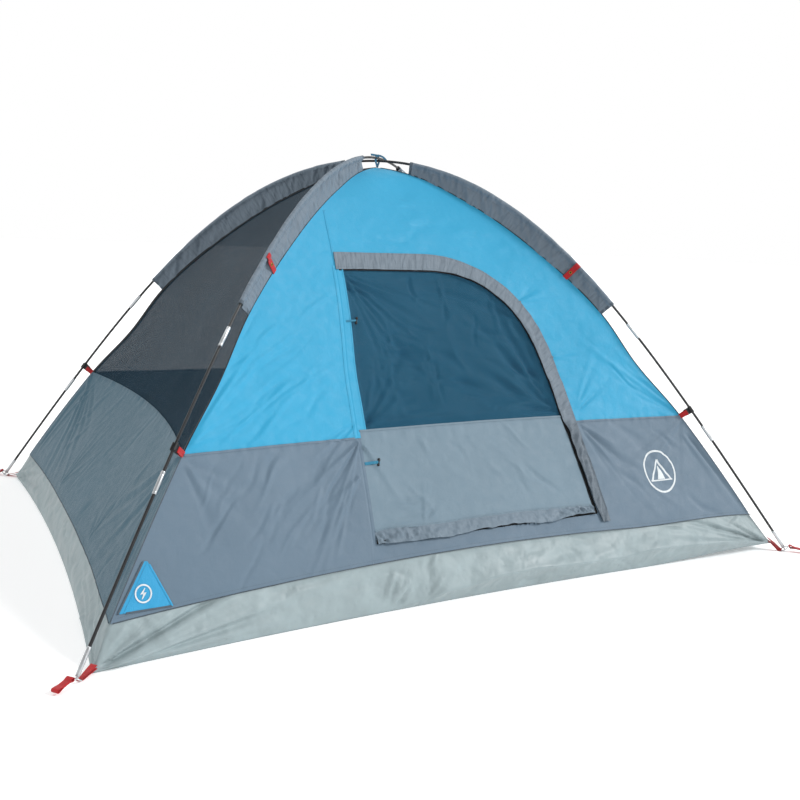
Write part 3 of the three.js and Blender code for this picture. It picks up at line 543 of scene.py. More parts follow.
def swept_piece(name, points, look, body=ROOT, smooth_shade=True):
    """A closed piece from a grid of section rows, with its two ends filled."""
    rows, columns = points.shape[:2]
    faces = [list(f) for f in grid_faces(rows, columns, wrap=True)]
    faces.append(list(range(columns))[::-1])
    faces.append([(rows - 1) * columns + i for i in range(columns)])
    return new_piece(name, points, faces, look, body, uv=lay_out(points), smooth_shade=smooth_shade)


def disc(radius, sides, squash=1.0):
    angle = np.arange(sides) * 2 * math.pi / sides
    return np.stack([radius * np.cos(angle), radius * squash * np.sin(angle)], -1)


def flat_section(width, thickness):
    """Section of a strap: flat faces and soft edges."""
    w, t = width / 2, thickness / 2
    edge = [(w - t, t), (w - 0.3 * t, 0.7 * t), (w, 0), (w - 0.3 * t, -0.7 * t), (w - t, -t)]
    mirror = [(-x, y) for x, y in edge[::-1]]
    top = [(-w / 2, t), (0, t), (w / 2, t)]
    bottom = [(w / 2, -t), (0, -t), (-w / 2, -t)]
    return np.array(top + edge + bottom + mirror)


def path_frames(path, normal_hint):
    """Across and normal directions along a path, the normal staying close to the hint."""
    tangent = unit(np.gradient(path, axis=0))
    hint = np.broadcast_to(np.asarray(normal_hint, float), path.shape)
    across = unit(np.cross(tangent, hint))
    return across, unit(np.cross(across, tangent))


def strap(name, path, normal_hint, width, thickness, look, body=ROOT):
    across, normal = path_frames(path, normal_hint)
    return swept_piece(name, sweep(path, across, normal, flat_section(width, thickness)), look, body)


def bent(points, count):
    """A smooth path through a few points."""
    points = np.asarray(points, float)
    run = np.concatenate([[0], np.cumsum(np.linalg.norm(np.diff(points, axis=0), axis=1))])
    places = np.linspace(0, run[-1], count)
    return np.stack([through(np.stack([run, points[:, i]], 1), places) for i in range(3)], -1)


def turned_piece(name, at, axis, side, profile, look, body=ROOT, sides=24):
    """A round piece about an axis, from a profile of (along, radius)."""
    axis, side = unit(np.asarray(axis, float)), unit(np.asarray(side, float))
    other = np.cross(axis, side)
    ring = disc(1, sides)
    spokes = ring[:, :1] * side + ring[:, 1:] * other
    rows = [at + axis * along + radius * spokes for along, radius in profile]
    return swept_piece(name, np.array(rows), look, body)


def turned_ring(name, at, axis, side, profile, look, sides=28, body=ROOT):
    """A ring about an axis, from a closed profile of (along, radius)."""
    axis, side = unit(np.asarray(axis, float)), unit(np.asarray(side, float))
    other = np.cross(axis, side)
    angle = np.arange(sides) * 2 * math.pi / sides
    out = np.cos(angle)[:, None] * side + np.sin(angle)[:, None] * other
    points = np.array([[at + axis * along + radius * o for along, radius in profile] for o in out])
    faces = grid_faces(*points.shape[:2], wrap=True, wrap_rows=True)
    return new_piece(name, points, faces, look, body, uv=lay_out(points))


# ---------- materials ----------


def linear(colour, share=1.0):
    c = np.array(colour) / 255
    return tuple(share * np.where(c < 0.04045, c / 12.92, ((c + 0.055) / 1.055) ** 2.4)) + (1.0,)


ALBEDO = 0.68  # the studio light lifts every surface by about the inverse of this


class Look:
    """A node material with short ways to wire it."""

    def __init__(self, name, colour, roughness, **settings):
        self.material = bpy.data.materials.new(name)
        self.material.use_nodes = True
        self.tree = self.material.node_tree
        self.shader = self.tree.nodes["Principled BSDF"]
        self.colour = linear(colour, ALBEDO)
        self.set("Base Color", self.colour)
        self.set("Roughness", roughness)
        for key, value in settings.items():
            self.set(key.replace("_", " "), value)
        self.bump = None

    def set(self, socket, value):
        self.shader.inputs[socket].default_value = value

    def node(self, kind, **inputs):
        node = self.tree.nodes.new("ShaderNode" + kind)
        for key, value in inputs.items():
            if hasattr(value, "is_output"):
                self.tree.links.new(value, node.inputs[key.replace("_", " ")])
            else:
                node.inputs[key.replace("_", " ")].default_value = value
        return node

    def place(self):
        return self.node("TexCoord").outputs["Object"]

    def flat(self):
        return self.node("TexCoord").outputs["UV"]

    def math(self, operation, a, b=None, c=None):
        node = self.tree.nodes.new("ShaderNodeMath")
        node.operation = operation
        for i, value in enumerate((a, b, c)):
            if value is None:
                continue
            if hasattr(value, "is_output"):
                self.tree.links.new(value, node.inputs[i])
            else:
                node.inputs[i].default_value = value
        return node.outputs[0]

    def noise(self, scale, detail=2.0, vector=None, distortion=0.0):
        vector = vector or self.place()
        node = self.node("TexNoise", Vector=vector, Scale=scale, Detail=detail, Distortion=distortion)
        return node.outputs["Fac"]

    def ramp(self, value, low, high, to_low=0.0, to_high=1.0):
        node = self.node("MapRange", Value=value, From_Min=low, From_Max=high, To_Min=to_low, To_Max=to_high)
        return node.outputs["Result"]

    def mix(self, share, a, b):
        node = self.tree.nodes.new("ShaderNodeMix")
        node.data_type = "RGBA"
        for i, value in ((0, share), (6, a), (7, b)):
            if hasattr(value, "is_output"):
                self.tree.links.new(value, node.inputs[i])
            else:
                node.inputs[i].default_value = value
        return node.outputs[2]

    def paint(self, value):
        self.tree.links.new(value, self.shader.inputs["Base Color"])

    def rough(self, value):
        self.tree.links.new(value, self.shader.inputs["Roughness"])

    def raise_by(self, value, distance, strength=1.0):
        """Adds a bump of the given height in metres."""
        node = self.node("Bump", Height=value, Distance=distance, Strength=strength)
        if self.bump is not None:
            self.tree.links.new(self.bump, node.inputs["Normal"])
        self.bump = node.outputs["Normal"]
        self.tree.links.new(self.bump, self.shader.inputs["Normal"])

    def weave(self, pitch, vector=None):
        """A plain weave's height, from 0 to 1."""
        vector = vector or self.flat()
        parts = self.node("SeparateXYZ", Vector=vector)
        turns = 2 * math.pi / pitch
        wave = [self.math("SINE", self.math("MULTIPLY", parts.outputs[i], turns)) for i in (0, 1)]
        return self.math("MULTIPLY_ADD", self.math("MULTIPLY", wave[0], wave[1]), 0.5, 0.5)

    def shades(self, value, dark=0.9, light=1.08):
        """The base colour between a darker and a lighter shade of it."""
        low = tuple(c * dark for c in self.colour[:3]) + (1,)
        high = tuple(min(c * light, 1) for c in self.colour[:3]) + (1,)
        return self.mix(value, low, high)


def taffeta(name, colour, roughness=0.62, pitch=0.0011, crinkle=0.0010, dark=0.93, light=1.05, **settings):
    """Coated polyester: a fine weave, small crinkles and a soft sheen."""
    look = Look(name, colour, roughness, Sheen_Weight=0.12, Sheen_Roughness=0.45,
                Specular_IOR_Level=0.35, **settings)
    broad = look.noise(2.6, 3.0)
    small = look.noise(38.0, 3.0, distortion=0.6)
    weave = look.weave(pitch)
    thread = look.noise(900.0, 1.0, look.flat())
    threads = look.math("ADD", thread, weave)
    tone = look.math("MULTIPLY_ADD", threads, 0.12, look.math("MULTIPLY", broad, 0.76))
    look.paint(look.shades(look.ramp(tone, 0.25, 0.75), dark, light))
    look.rough(look.ramp(small, 0.3, 0.7, roughness - 0.06, roughness + 0.08))
    look.raise_by(small, crinkle)
    look.raise_by(look.noise(150.0, 2.0), crinkle * 0.18)
    look.raise_by(weave, 0.00010)
    return look


BLUE = (47, 174, 220)
GREY = (110, 133, 152)
# Painted shade: the right, back and left walls get a darker, bluer copy of the front's grey cloth.
SHADED_SIDE_GREY = (68, 109, 128)
SLEEVE_GREY = (122, 138, 152)

blue = taffeta("blue_taffeta", BLUE, 0.55)
cover_blue = taffeta("cover_taffeta", (60, 160, 205), 0.6)
grey = taffeta("grey_taffeta", GREY, 0.58)
door_grey = taffeta("door_taffeta", (123, 148, 164), 0.58)
foot_grey = taffeta("foot_taffeta", (124, 143, 158), 0.58, crinkle=0.0024, dark=0.84)
shaded_side_grey = taffeta("side_taffeta_painted_shade", SHADED_SIDE_GREY, 0.58)


def pleated(name, colour, height, across=14.0, along=85.0, shade_below=None):
    """Taffeta gathered on a curve: fine pleats run across the strip."""
    look = taffeta(name, colour, 0.6, crinkle=0.0014, dark=0.86, light=1.08)
    parts = look.node("SeparateXYZ", Vector=look.flat())
    spread = look.node("CombineXYZ")
    look.tree.links.new(look.math("MULTIPLY", parts.outputs[0], across), spread.inputs[0])
    look.tree.links.new(look.math("MULTIPLY", parts.outputs[1], along), spread.inputs[1])
    pleats = look.noise(1.0, 2.5, spread.outputs[0], 0.35)
    look.raise_by(pleats, height)
    if shade_below:
        # Below the given height the colour is darker. Above it the colour follows the pleats: painted shade
        # in their hollows and painted highlight on their crests.
        height_here = look.node("SeparateXYZ", Vector=look.place()).outputs[2]
        share = look.ramp(height_here, shade_below - 0.006, shade_below + 0.006)
        dark = tuple(c * 0.74 for c in look.colour[:3]) + (1,)
        look.paint(look.mix(share, dark, look.shades(pleats, 0.84, 1.10)))
    return look


sleeve_grey = pleated("sleeve_taffeta", SLEEVE_GREY, 0.0100, along=60.0)
flap_grey = pleated("flap_taffeta", (124, 139, 152), 0.0080, along=60.0, shade_below=0.463)
binding_grey = taffeta("binding_taffeta", (88, 102, 114), 0.65)
binding_black = taffeta("binding_black", (24, 30, 36), 0.8, dark=0.8, light=1.3)
port_blue = taffeta("port_taffeta", (50, 172, 226), 0.5)


def tarpaulin():
    """Woven polyethylene with a thin coat: flat tapes in a plain weave, sharp random crinkles, dull shine."""
    look = Look("tub_sheet", (167, 184, 188), 0.5, Specular_IOR_Level=0.4, Sheen_Weight=0.05)
    place = look.place()
    warped = look.node("TexNoise", Vector=place, Scale=6.0, Detail=2.0)
    bent_place = look.tree.nodes.new("ShaderNodeMix")
    bent_place.data_type = "VECTOR"
    bent_place.inputs[0].default_value = 0.06
    look.tree.links.new(place, bent_place.inputs[4])
    look.tree.links.new(warped.outputs["Color"], bent_place.inputs[5])
    crinkle = look.node("TexVoronoi", Vector=bent_place.outputs[1], Scale=22.0)
    crinkle.feature = "SMOOTH_F1"
    fine = look.node("TexVoronoi", Vector=bent_place.outputs[1], Scale=60.0)
    fine.feature = "SMOOTH_F1"
    weave = look.weave(0.0028)
    mottle = look.noise(14.0, 4.0)
    tone = look.math("MULTIPLY_ADD", weave, 0.10, look.math("MULTIPLY", mottle, 0.85))
    look.paint(look.shades(look.ramp(tone, 0.25, 0.75), 0.88, 1.10))
    look.rough(look.ramp(mottle, 0.3, 0.7, 0.40, 0.62))
    look.raise_by(crinkle.outputs["Distance"], 0.010, 0.55)
    look.raise_by(fine.outputs["Distance"], 0.003, 0.5)
    look.raise_by(look.noise(200.0, 2.0), 0.0002)
    look.raise_by(weave, 0.00012)
    return look


tub_sheet = tarpaulin()


def netting(name, colour, cover, pitch=0.0016):
    """Fine knitted mesh: thin threads, with a share of the view passing between them."""
    look = Look(name, colour, 0.8, Specular_IOR_Level=0.08)
    parts = look.node("SeparateXYZ", Vector=look.flat())
    thread = None
    for i in (0, 1):
        cell = look.math("FRACT", look.math("MULTIPLY", parts.outputs[i], 1 / pitch))
        line = look.math("ABSOLUTE", look.math("SUBTRACT", cell, 0.5))
        thread = line if thread is None else look.math("MAXIMUM", thread, line)
    drift = look.math("MULTIPLY", look.math("SUBTRACT", look.noise(3.0, 3.0), 0.5), 0.08)
    alpha = look.math("ADD", look.ramp(thread, 0.15, 0.45, cover - 0.16, cover + 0.12), drift)
    look.tree.links.new(alpha, look.shader.inputs["Alpha"])
    look.paint(look.shades(look.noise(5.0, 3.0), 0.8, 1.2))
    look.raise_by(look.noise(30.0, 3.0), 0.0008)
    return look


wall_mesh = netting("wall_netting", (38, 63, 79), 0.80)
window_mesh = netting("window_netting", (22, 44, 62), 0.50)


def webbing(name, colour, pitch=0.0022, sheen=0.2):
    """Narrow woven tape with a ribbed face."""
    look = Look(name, colour, 0.62, Sheen_Weight=sheen, Sheen_Roughness=0.4, Specular_IOR_Level=0.3)
    weave = look.weave(pitch)
    tone = look.math("MULTIPLY_ADD", weave, 0.35, look.math("MULTIPLY", look.noise(120.0, 3.0), 0.6))
    painted = look.shades(look.ramp(tone, 0.2, 0.8), 0.75, 1.15)
    look.paint(painted)
    look.raise_by(weave, 0.00035)
    look.raise_by(look.noise(60.0, 2.0), 0.0006)
    return look


red_web = webbing("red_webbing", (206, 32, 38))
blue_ribbon = webbing("blue_ribbon", (58, 148, 184), 0.0014)
dark_ribbon = webbing("dark_ribbon", (34, 112, 148), 0.0014)
zip_tape = webbing("zip_tape_look", (26, 29, 33), 0.0012, sheen=0.0)


def thread_look(name, colour, roughness=0.6):
    look = Look(name, colour, roughness, Sheen_Weight=0.15)
    tone = look.noise(700.0, 2.0)
    look.paint(look.shades(tone, 0.85, 1.1))
    look.raise_by(tone, 0.0001)
    return look


stitch_grey = thread_look("stitch_grey", (74, 86, 98))
stitch_blue = thread_look("stitch_blue", (44, 126, 170))
stitch_red = thread_look("stitch_red", (140, 14, 18))


def fibreglass():
    look = Look("fibreglass", (20, 21, 24), 0.34, Specular_IOR_Level=0.5)
    parts = look.node("SeparateXYZ", Vector=look.flat())
    spread = look.node("CombineXYZ")
    look.tree.links.new(look.math("MULTIPLY", parts.outputs[0], 900.0), spread.inputs[0])
    look.tree.links.new(look.math("MULTIPLY", parts.outputs[1], 9.0), spread.inputs[1])
    fibre = look.noise(1.0, 3.0, spread.outputs[0])
    scuff = look.noise(55.0, 5.0)
    look.paint(look.shades(fibre, 0.6, 1.9))
    look.rough(look.ramp(scuff, 0.3, 0.75, 0.26, 0.5))
    look.raise_by(fibre, 0.00012)
    return look


def metal(name, colour, roughness, scratch=500.0):
    look = Look(name, colour, roughness, Metallic=1.0)
    scuff = look.noise(scratch, 4.0)
    smudge = look.noise(40.0, 3.0)
    look.paint(look.shades(smudge, 0.86, 1.05))
    look.rough(look.ramp(scuff, 0.3, 0.7, roughness - 0.08, roughness + 0.12))
    look.raise_by(scuff, 0.00001)
    return look


def plastic(name, colour, roughness):
    look = Look(name, colour, roughness, Specular_IOR_Level=0.45)
    grain = look.noise(1400.0, 2.0)
    look.paint(look.shades(look.noise(60.0, 3.0), 0.8, 1.25))
    look.rough(look.ramp(grain, 0.3, 0.7, roughness - 0.06, roughness + 0.08))
    look.raise_by(grain, 0.00006)
    return look


rod_look = fibreglass()
steel = metal("plated_steel", (226, 230, 233), 0.34)
brass = metal("brass_eyelet", (205, 160, 70), 0.3)
clip_black = plastic("clip_plastic_look", (18, 19, 21), 0.42)
slider_metal = metal("slider_metal", (70, 72, 76), 0.38)
coil_black = plastic("zip_coil", (22, 23, 26), 0.45)
print_white = plastic("white_print", (232, 240, 243), 0.55)

# ---------- poles ----------

ROUND = disc(1, 16)


def along_pole(name, pole, profile, look):
    """A round piece on a pole, from a profile of (arc, radius)."""
    arcs, radii = np.array(profile).T
    at, _, normal, side = pole_frame(pole, arcs)
    points = sweep(at, side, normal, ROUND * radii[:, None, None])
    return swept_piece(name, points, look, ROOT)


def ferrule_arcs():
    near = [FIRST_FERRULE + i * SECTION_PITCH for i in range(FERRULES_PER_SIDE)]
    return near + [2 * HALF_ARC - arc for arc in reversed(near)]


def rod_profile(start, end):
    arcs = np.linspace(start, end, 22)
    return [(start, POLE_R * 0.85), (start + 0.001, POLE_R)] + [(a, POLE_R) for a in arcs[1:-1]] + [
        (end - 0.001, POLE_R), (end, POLE_R * 0.85)]


def ferrule_profile(middle):
    half, lip, groove = FERRULE_HALF, 0.0012, 0.024
    rows = [(-half, POLE_R + 0.0004), (-half, FERRULE_R - 0.0003), (-half + lip, FERRULE_R),
            (-groove - 0.002, FERRULE_R), (-groove, FERRULE_R - 0.0005), (-groove + 0.002, FERRULE_R)]
    rows += [(-x, r) for x, r in reversed(rows)]
    return [(middle + x, r) for x, r in rows]


def tip_profile(mouth, inwards):
    """A steel tip from its mouth, with the bore for the pin."""
    rows = [(0.042, 0.0030), (0.001, 0.0030), (0, 0.0036), (0, TIP_R - 0.0006), (0.0008, TIP_R),
            (0.050, TIP_R), (0.052, TIP_R - 0.0006), (0.054, TIP_R), (TIP_LENGTH - 0.002, TIP_R),
            (TIP_LENGTH, TIP_R - 0.0008), (TIP_LENGTH, POLE_R)]
    return [(mouth + inwards * along, radius) for along, radius in rows]


def add_poles():
    length = 2 * HALF_ARC
    for pole in POLES:
        ends = [0, *ferrule_arcs(), length]
        for i in range(len(ends) - 1):
            start = TIP_LENGTH - 0.006 if i == 0 else ends[i] + 0.0005
            end = length - TIP_LENGTH + 0.006 if i + 2 == len(ends) else ends[i + 1]
            profile = rod_profile(start, end)
            rod = along_pole(f"pole_{pole}_rod_{i + 1}", pole, profile, rod_look)
            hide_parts(f"pole_{pole}_section_{i + 1}")
            if i + 2 < len(ends):
                along_pole(f"pole_{pole}_ferrule_{i + 1}", pole, ferrule_profile(ends[i + 1]), steel)
        along_pole(f"pole_{pole}_tip_front", pole, tip_profile(0, 1), steel)
        along_pole(f"pole_{pole}_tip_back", pole, tip_profile(length, -1), steel)


add_poles()

# ---------- sleeves ----------


def outward_side(corner, arc):
    """Leg frame whose sideways direction looks at the long wall."""
    at, tangent, normal, side = leg_frame(corner, arc)
    if side[0, 1] * (1 if corner.startswith("back") else -1) < 0:
        side = -side
    return at, tangent, normal, side


def sleeve_points(corner, arcs, grow=0.0):
    """A sheet folded over the pole: up one face of the fin, round the channel and down the other face."""
    at, _, normal, side = outward_side(corner, arcs)
    fin = through(EDGE_INSET, arcs) - 0.002
    neck, slack_r = 0.0125, 0.0082
    down = np.linspace(0, 1, 14)
    angle = np.radians(np.linspace(138, -138, 22))
    seed = 300 + list(CORNERS).index(corner)
    rows = []
    for k, arc in enumerate(arcs):
        depth = neck + (fin[k] - neck) * down[::-1]
        loose = slack_r * (1 + 0.10 * noise(arc / 0.03, 0.5, seed))
        n = np.concatenate([-depth, loose * np.cos(angle) - 0.0004, -depth[::-1]])
        gap = 0.0010 + 0.0006 * noise(arc / 0.02, depth / 0.02, seed + 1)
        s = np.concatenate([gap, 0.93 * loose * np.sin(angle), -gap[::-1]])
        reach = np.clip(-n / fin[k], 0, 1)
        close = 1 - smooth(arc, SLEEVE_START + 0.34, SLEEVE_START + 0.50)
        slant = arc - 0.55 * n * (1 + close)
        pleat = noise(slant / 0.013, n / 0.060, seed + 2) * (1 - 0.65 * close)
        pleat += 0.9 * noise(slant / 0.036, n / 0.050, seed + 3) * (0.5 + 0.7 * close)
        profile = 0.10 + 0.90 * np.sin(np.pi * np.clip(reach, 0, 1)) ** 0.8
        profile = profile * (1 - smooth(reach, 0.93, 1.0))
        s = s + 0.0065 * pleat * profile
        rows.append(np.stack([s, n], -1))
    section = np.array(rows)
    if grow:
        middle = section.mean(axis=1, keepdims=True)
        section = section + grow * unit(section - middle)
    return sweep(at, side, normal, section)


def sleeve_end(corner):
    """The sleeve of the far right leg stops sooner than in the CAD, so its pole shows beside the crossing."""
    return SLEEVE_END - (0.065 if corner == "back_right" else 0)


def add_sleeve(corner):
    high = sleeve_end(corner)
    arcs = np.linspace(SLEEVE_START, high, 300)
    points = sleeve_points(corner, arcs)
    piece = grid_piece(f"sleeve_cloth_{corner}", points, sleeve_grey)
    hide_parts(f"sleeve_{corner}")
    for label, start, end in (("low", SLEEVE_START, SLEEVE_START + 0.011), ("high", high - 0.011, high)):
        hem = sleeve_points(corner, np.linspace(start, end, 4), 0.0006)
        grid_piece(f"sleeve_hem_{label}_{corner}", hem, binding_grey)
    declare(points)


def add_stitches(name, path, across, normal, look, pitch=0.0042, length=0.0027, body=ROOT):
    """A row of stitches along a path."""
    run = np.concatenate([[0], np.cumsum(np.linalg.norm(np.diff(path, axis=0), axis=1))])
    starts = np.arange(0.002, run[-1] - length, pitch)

    def at(values, table):
        return np.stack([np.interp(values, run, table[:, i]) for i in range(3)], -1)

    half, high = 0.00035, 0.00035
    faces, points = [], []
    first, last = at(starts, path), at(starts + length, path)
    middle, side, up = at(starts + length / 2, path), at(starts, across), at(starts, normal)
    for i in range(len(starts)):
        base = len(points)
        points += [first[i], middle[i] + side[i] * half, middle[i] + up[i] * high,
                   middle[i] - side[i] * half, last[i]]
        faces += [[base, base + 1, base + 2], [base, base + 2, base + 3],
                  [base + 4, base + 2, base + 1], [base + 4, base + 3, base + 2]]
    return new_piece(name, points, faces, look, body)


def red_stitches(name, row, across, up, body=ROOT):
    """A straight row of stitches through webbing."""
    across, up = np.broadcast_to(across, row.shape), np.broadcast_to(up, row.shape)
    add_stitches(name, row, across, up, stitch_red, 0.0026, 0.0018, body)


def sleeve_stitching(corner):
    """Two rows of stitches close the channel, one on each face of the fin."""
    arcs = np.linspace(SLEEVE_START + 0.004, sleeve_end(corner) - 0.004, 220)
    points = sleeve_points(corner, arcs)
    _, _, normal, side = outward_side(corner, arcs)
    for label, column, way in (("outer", 12, 1), ("inner", -13, -1)):
        path = points[:, column] + side * 0.0003 * way
        name = f"sleeve_stitches_{label}_{corner}"
        add_stitches(name, path, normal, side * way, stitch_grey)


for corner in CORNERS:
    add_sleeve(corner)
    sleeve_stitching(corner)

# ---------- guy tabs, clips, anchors and peg loops ----------


def section_path(corner, arc, pairs, count):
    """A smooth path in the plane across a leg, through (outward, sideways) pairs."""
    at, tangent, normal, side = outward_side(corner, arc)
    points = [at[0] + normal[0] * out + side[0] * across for out, across in pairs]
    return bent(points, count), tangent[0], normal[0], side[0]


def cross_strap(name, path, along, away, width, thickness, look):
    """A strap whose path runs across a leg and whose width lies along it. Away points off its outer face."""
    across = np.broadcast_to(along, path.shape)
    normal = unit(np.cross(across, unit(np.gradient(path, axis=0))))
    if (normal[0] * away).sum() < 0:
        normal = -normal
    return swept_piece(name, sweep(path, across, normal, flat_section(width, thickness)), look, ROOT)


def add_guy_tab(corner):
    pairs = [(-0.064, 0.0032), (-0.048, 0.0040), (-0.030, 0.0044), (-0.016, 0.0050),
             (-0.008, 0.0088), (0.001, 0.0105), (0.0075, 0.0080)]
    path, along, normal, side = section_path(corner, GUY_TAB_ARC, pairs, 40)
    name = f"guy_webbing_{corner}"
    tab = cross_strap(name, path, along, side, WEBBING_WIDTH, WEBBING, red_web)
    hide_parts(f"guy_tab_{corner}")
    middle = path[17]
    profile = [(0.0002, 0.0028), (0.0013, 0.0030), (0.0017, 0.0038), (0.0013, 0.0050), (0.0002, 0.0053)]
    ring = turned_ring(f"guy_eyelet_{corner}", middle + side * 0.0008, side, along, profile, brass)
    dark = turned_piece(f"guy_eye_{corner}", middle + side * 0.0006, side, along,
                        [(0, 0.0029), (0.0005, 0.0028)], binding_black)
    for label, index in (("foot", 4), ("top", 27)):
        row = path[index] + np.linspace(-0.0085, 0.0085, 12)[:, None] * along + side * (WEBBING / 2 + 0.0002)
        red_stitches(f"guy_stitches_{label}_{corner}", row, normal, side)


def torus_profile(major, minor, sides=12):
    angle = np.arange(sides) * 2 * math.pi / sides
    return [(minor * math.sin(a), major + minor * math.cos(a)) for a in angle]


def bevel(piece, width, segments=2):
    modifier = piece.modifiers.new("edges", "BEVEL")
    modifier.width = width
    modifier.segments = segments
    modifier.limit_method = "ANGLE"
    modifier.angle_limit = math.radians(35)
    return piece


def add_clip(corner):
    at, tangent, normal, side = outward_side(corner, CLIP_ARC)
    at, tangent, normal, side = at[0], tangent[0], normal[0], side[0]
    outer, bore, mouth, shoulder = 0.0088, 0.0053, math.radians(38), math.radians(154)
    angles = np.linspace(mouth, shoulder, 12)
    upper = [(outer * math.cos(a), outer * math.sin(a)) for a in angles]
    stem = [(-0.012, 0.0034), (-0.0225, 0.0026), (-0.0245, 0.0018)]
    half = upper + stem
    inner = [(bore * math.cos(a), bore * math.sin(a)) for a in np.linspace(2 * math.pi - mouth, mouth, 20)]
    outline = half + [(x, -y) for x, y in reversed(half)] + inner
    section = np.array([(s, n) for n, s in outline])
    places = np.linspace(-0.0115, 0.0115, 5)
    path = at + places[:, None] * tangent
    points = sweep(path, np.broadcast_to(side, path.shape), np.broadcast_to(normal, path.shape), section)
    hook = swept_piece(f"clip_hook_{corner}", points, clip_black, ROOT, smooth_shade=False)
    bevel(hook, 0.0009)
    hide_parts(f"pole_clip_{corner}")
    inset = float(through(EDGE_INSET, CLIP_ARC))
    there = [(-inset - 0.003, 0.0016), (-0.036, 0.0026), (-0.025, 0.0040),
             (-0.0175, 0.0046), (-0.0150, 0.0036)]
    pairs = there + [(run, -off) for run, off in reversed(there)]
    loop, along, _, _ = section_path(corner, CLIP_ARC, pairs, 60)
    name = f"clip_webbing_{corner}"
    cross_strap(name, loop, along, side, WEBBING_WIDTH * 0.9, WEBBING, red_web)
    for label, out in (("inner", -inset + 0.004), ("outer", -inset + 0.012)):
        row = at + normal * out + side * 0.0040 + np.linspace(-0.008, 0.008, 10)[:, None] * tangent
        red_stitches(f"clip_stitches_{label}_{corner}", row, normal, side)


def add_anchor(corner):
    at, tangent, normal, side = leg_frame(corner, RING_ARC)
    at, tangent, normal, side = at[0], tangent[0], normal[0], side[0]
    wire = torus_profile(RING_R - 0.0019, 0.0018)
    ring = turned_ring(f"anchor_ring_{corner}", at, tangent, normal, wire, steel)
    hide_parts(f"corner_anchor_{corner}")
    reach = RING_R - 0.002
    rod = [(-reach, 0.0018), (reach, 0.0018)]
    bar = turned_piece(f"anchor_bar_{corner}", at, side, normal, rod, steel, sides=12)
    rod = [(-0.0018, 0.0015), (-0.0018, 0.0022), (0.036, 0.0022), (0.038, 0.0012)]
    pin = turned_piece(f"anchor_pin_{corner}", at, tangent, normal, rod, steel, sides=16)
    out = CORNERS[corner]
    rim = at - normal * (RING_R - 0.0019)
    inner = out * (FLOOR_CORNER_R - 0.010) + UP * (0.020 + CORNER_LIFT * (corner == "front_right"))
    path = bent([inner, (inner + rim) / 2 + UP * 0.001, rim + UP * 0.0035 - out * 0.004, rim + out * 0.0030,
                 rim - UP * 0.0030 - out * 0.003, (inner + rim) / 2 - UP * 0.006, inner - UP * 0.008], 48)
    width = WEBBING_WIDTH - 0.006 * np.sin(np.pi * np.linspace(0, 1, 48)) ** 2
    level = unit(np.cross(UP, out))
    turn = 0.80 if corner == "front_right" else 0.25
    twist = (turn * np.sin(np.pi * np.linspace(0, 1, 48)) ** 1.5)[:, None]
    across = level * np.cos(twist) + UP * np.sin(twist)
    facing = unit(np.cross(across, unit(np.gradient(path, axis=0))))
    section = np.array([flat_section(w, WEBBING) for w in width])
    points = sweep(path, across, facing, section)
    points[..., 2] = np.maximum(points[..., 2], 0.0008)
    swept_piece(f"anchor_strap_{corner}", points, red_web, ROOT)


def add_peg_loop(corner):
    """A folded loop of webbing from the ring's high edge down to the ground, sewn shut near the ring."""
    at, _, normal, _ = leg_frame(corner, RING_ARC)
    start = at[0] + normal[0] * (RING_R + 0.001) + CORNERS[corner] * 0.0015
    half = 0.006
    fall = start[2] - half - 0.001
    along = unit(CORNERS[corner] - UP * fall / LOOP_LENGTH)
    side = np.cross(UP, CORNERS[corner])
    lift = np.cross(along, side)
    lift = lift if lift[2] > 0 else -lift
    t = np.linspace(0, 1, 40)
    reach = (LOOP_LENGTH - 0.0015) * (0.76 if corner == "front_left" else 1)
    spread = 0.0012 + 0.0036 * (1 - smooth(t, 0.05, 0.30)) + 0.0034 * smooth(t, 0.55, 0.95)
    spread = spread * np.sqrt(np.clip(np.minimum(t, 1 - t) / 0.06, 0, 1))
    top = np.stack([t * reach, spread], -1)
    ring = np.concatenate([top, (top * (1, -1))[::-1][1:-1]])
    path = start + ring[:, :1] * along + ring[:, 1:] * lift
    closed = np.concatenate([path[-1:], path, path[:1]])
    tangent = unit(closed[2:] - closed[:-2])
    across = np.broadcast_to(side, path.shape)
    facing = unit(np.cross(across, tangent))
    points = sweep(path, across, facing, flat_section(WEBBING_WIDTH - 0.0005, 0.0014))
    faces = grid_faces(*points.shape[:2], wrap=True, wrap_rows=True)
    body = f"peg_loop_{corner}"
    uv = lay_out(points)
    piece = new_piece(f"peg_webbing_{corner}", points, faces, red_web, body, uv=uv)
    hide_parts(body)
    for label, place in (("near", 0.30), ("far", 0.42)):
        row = start + along * reach * place + lift * 0.0022 + np.linspace(-0.008, 0.008, 12)[:, None] * side
        red_stitches(f"peg_stitches_{label}_{corner}", row, along, lift, body)


for corner in CORNERS:
    add_guy_tab(corner)
    add_clip(corner)
    add_anchor(corner)
    add_peg_loop(corner)

# ---------- ribbon at the crossing ----------


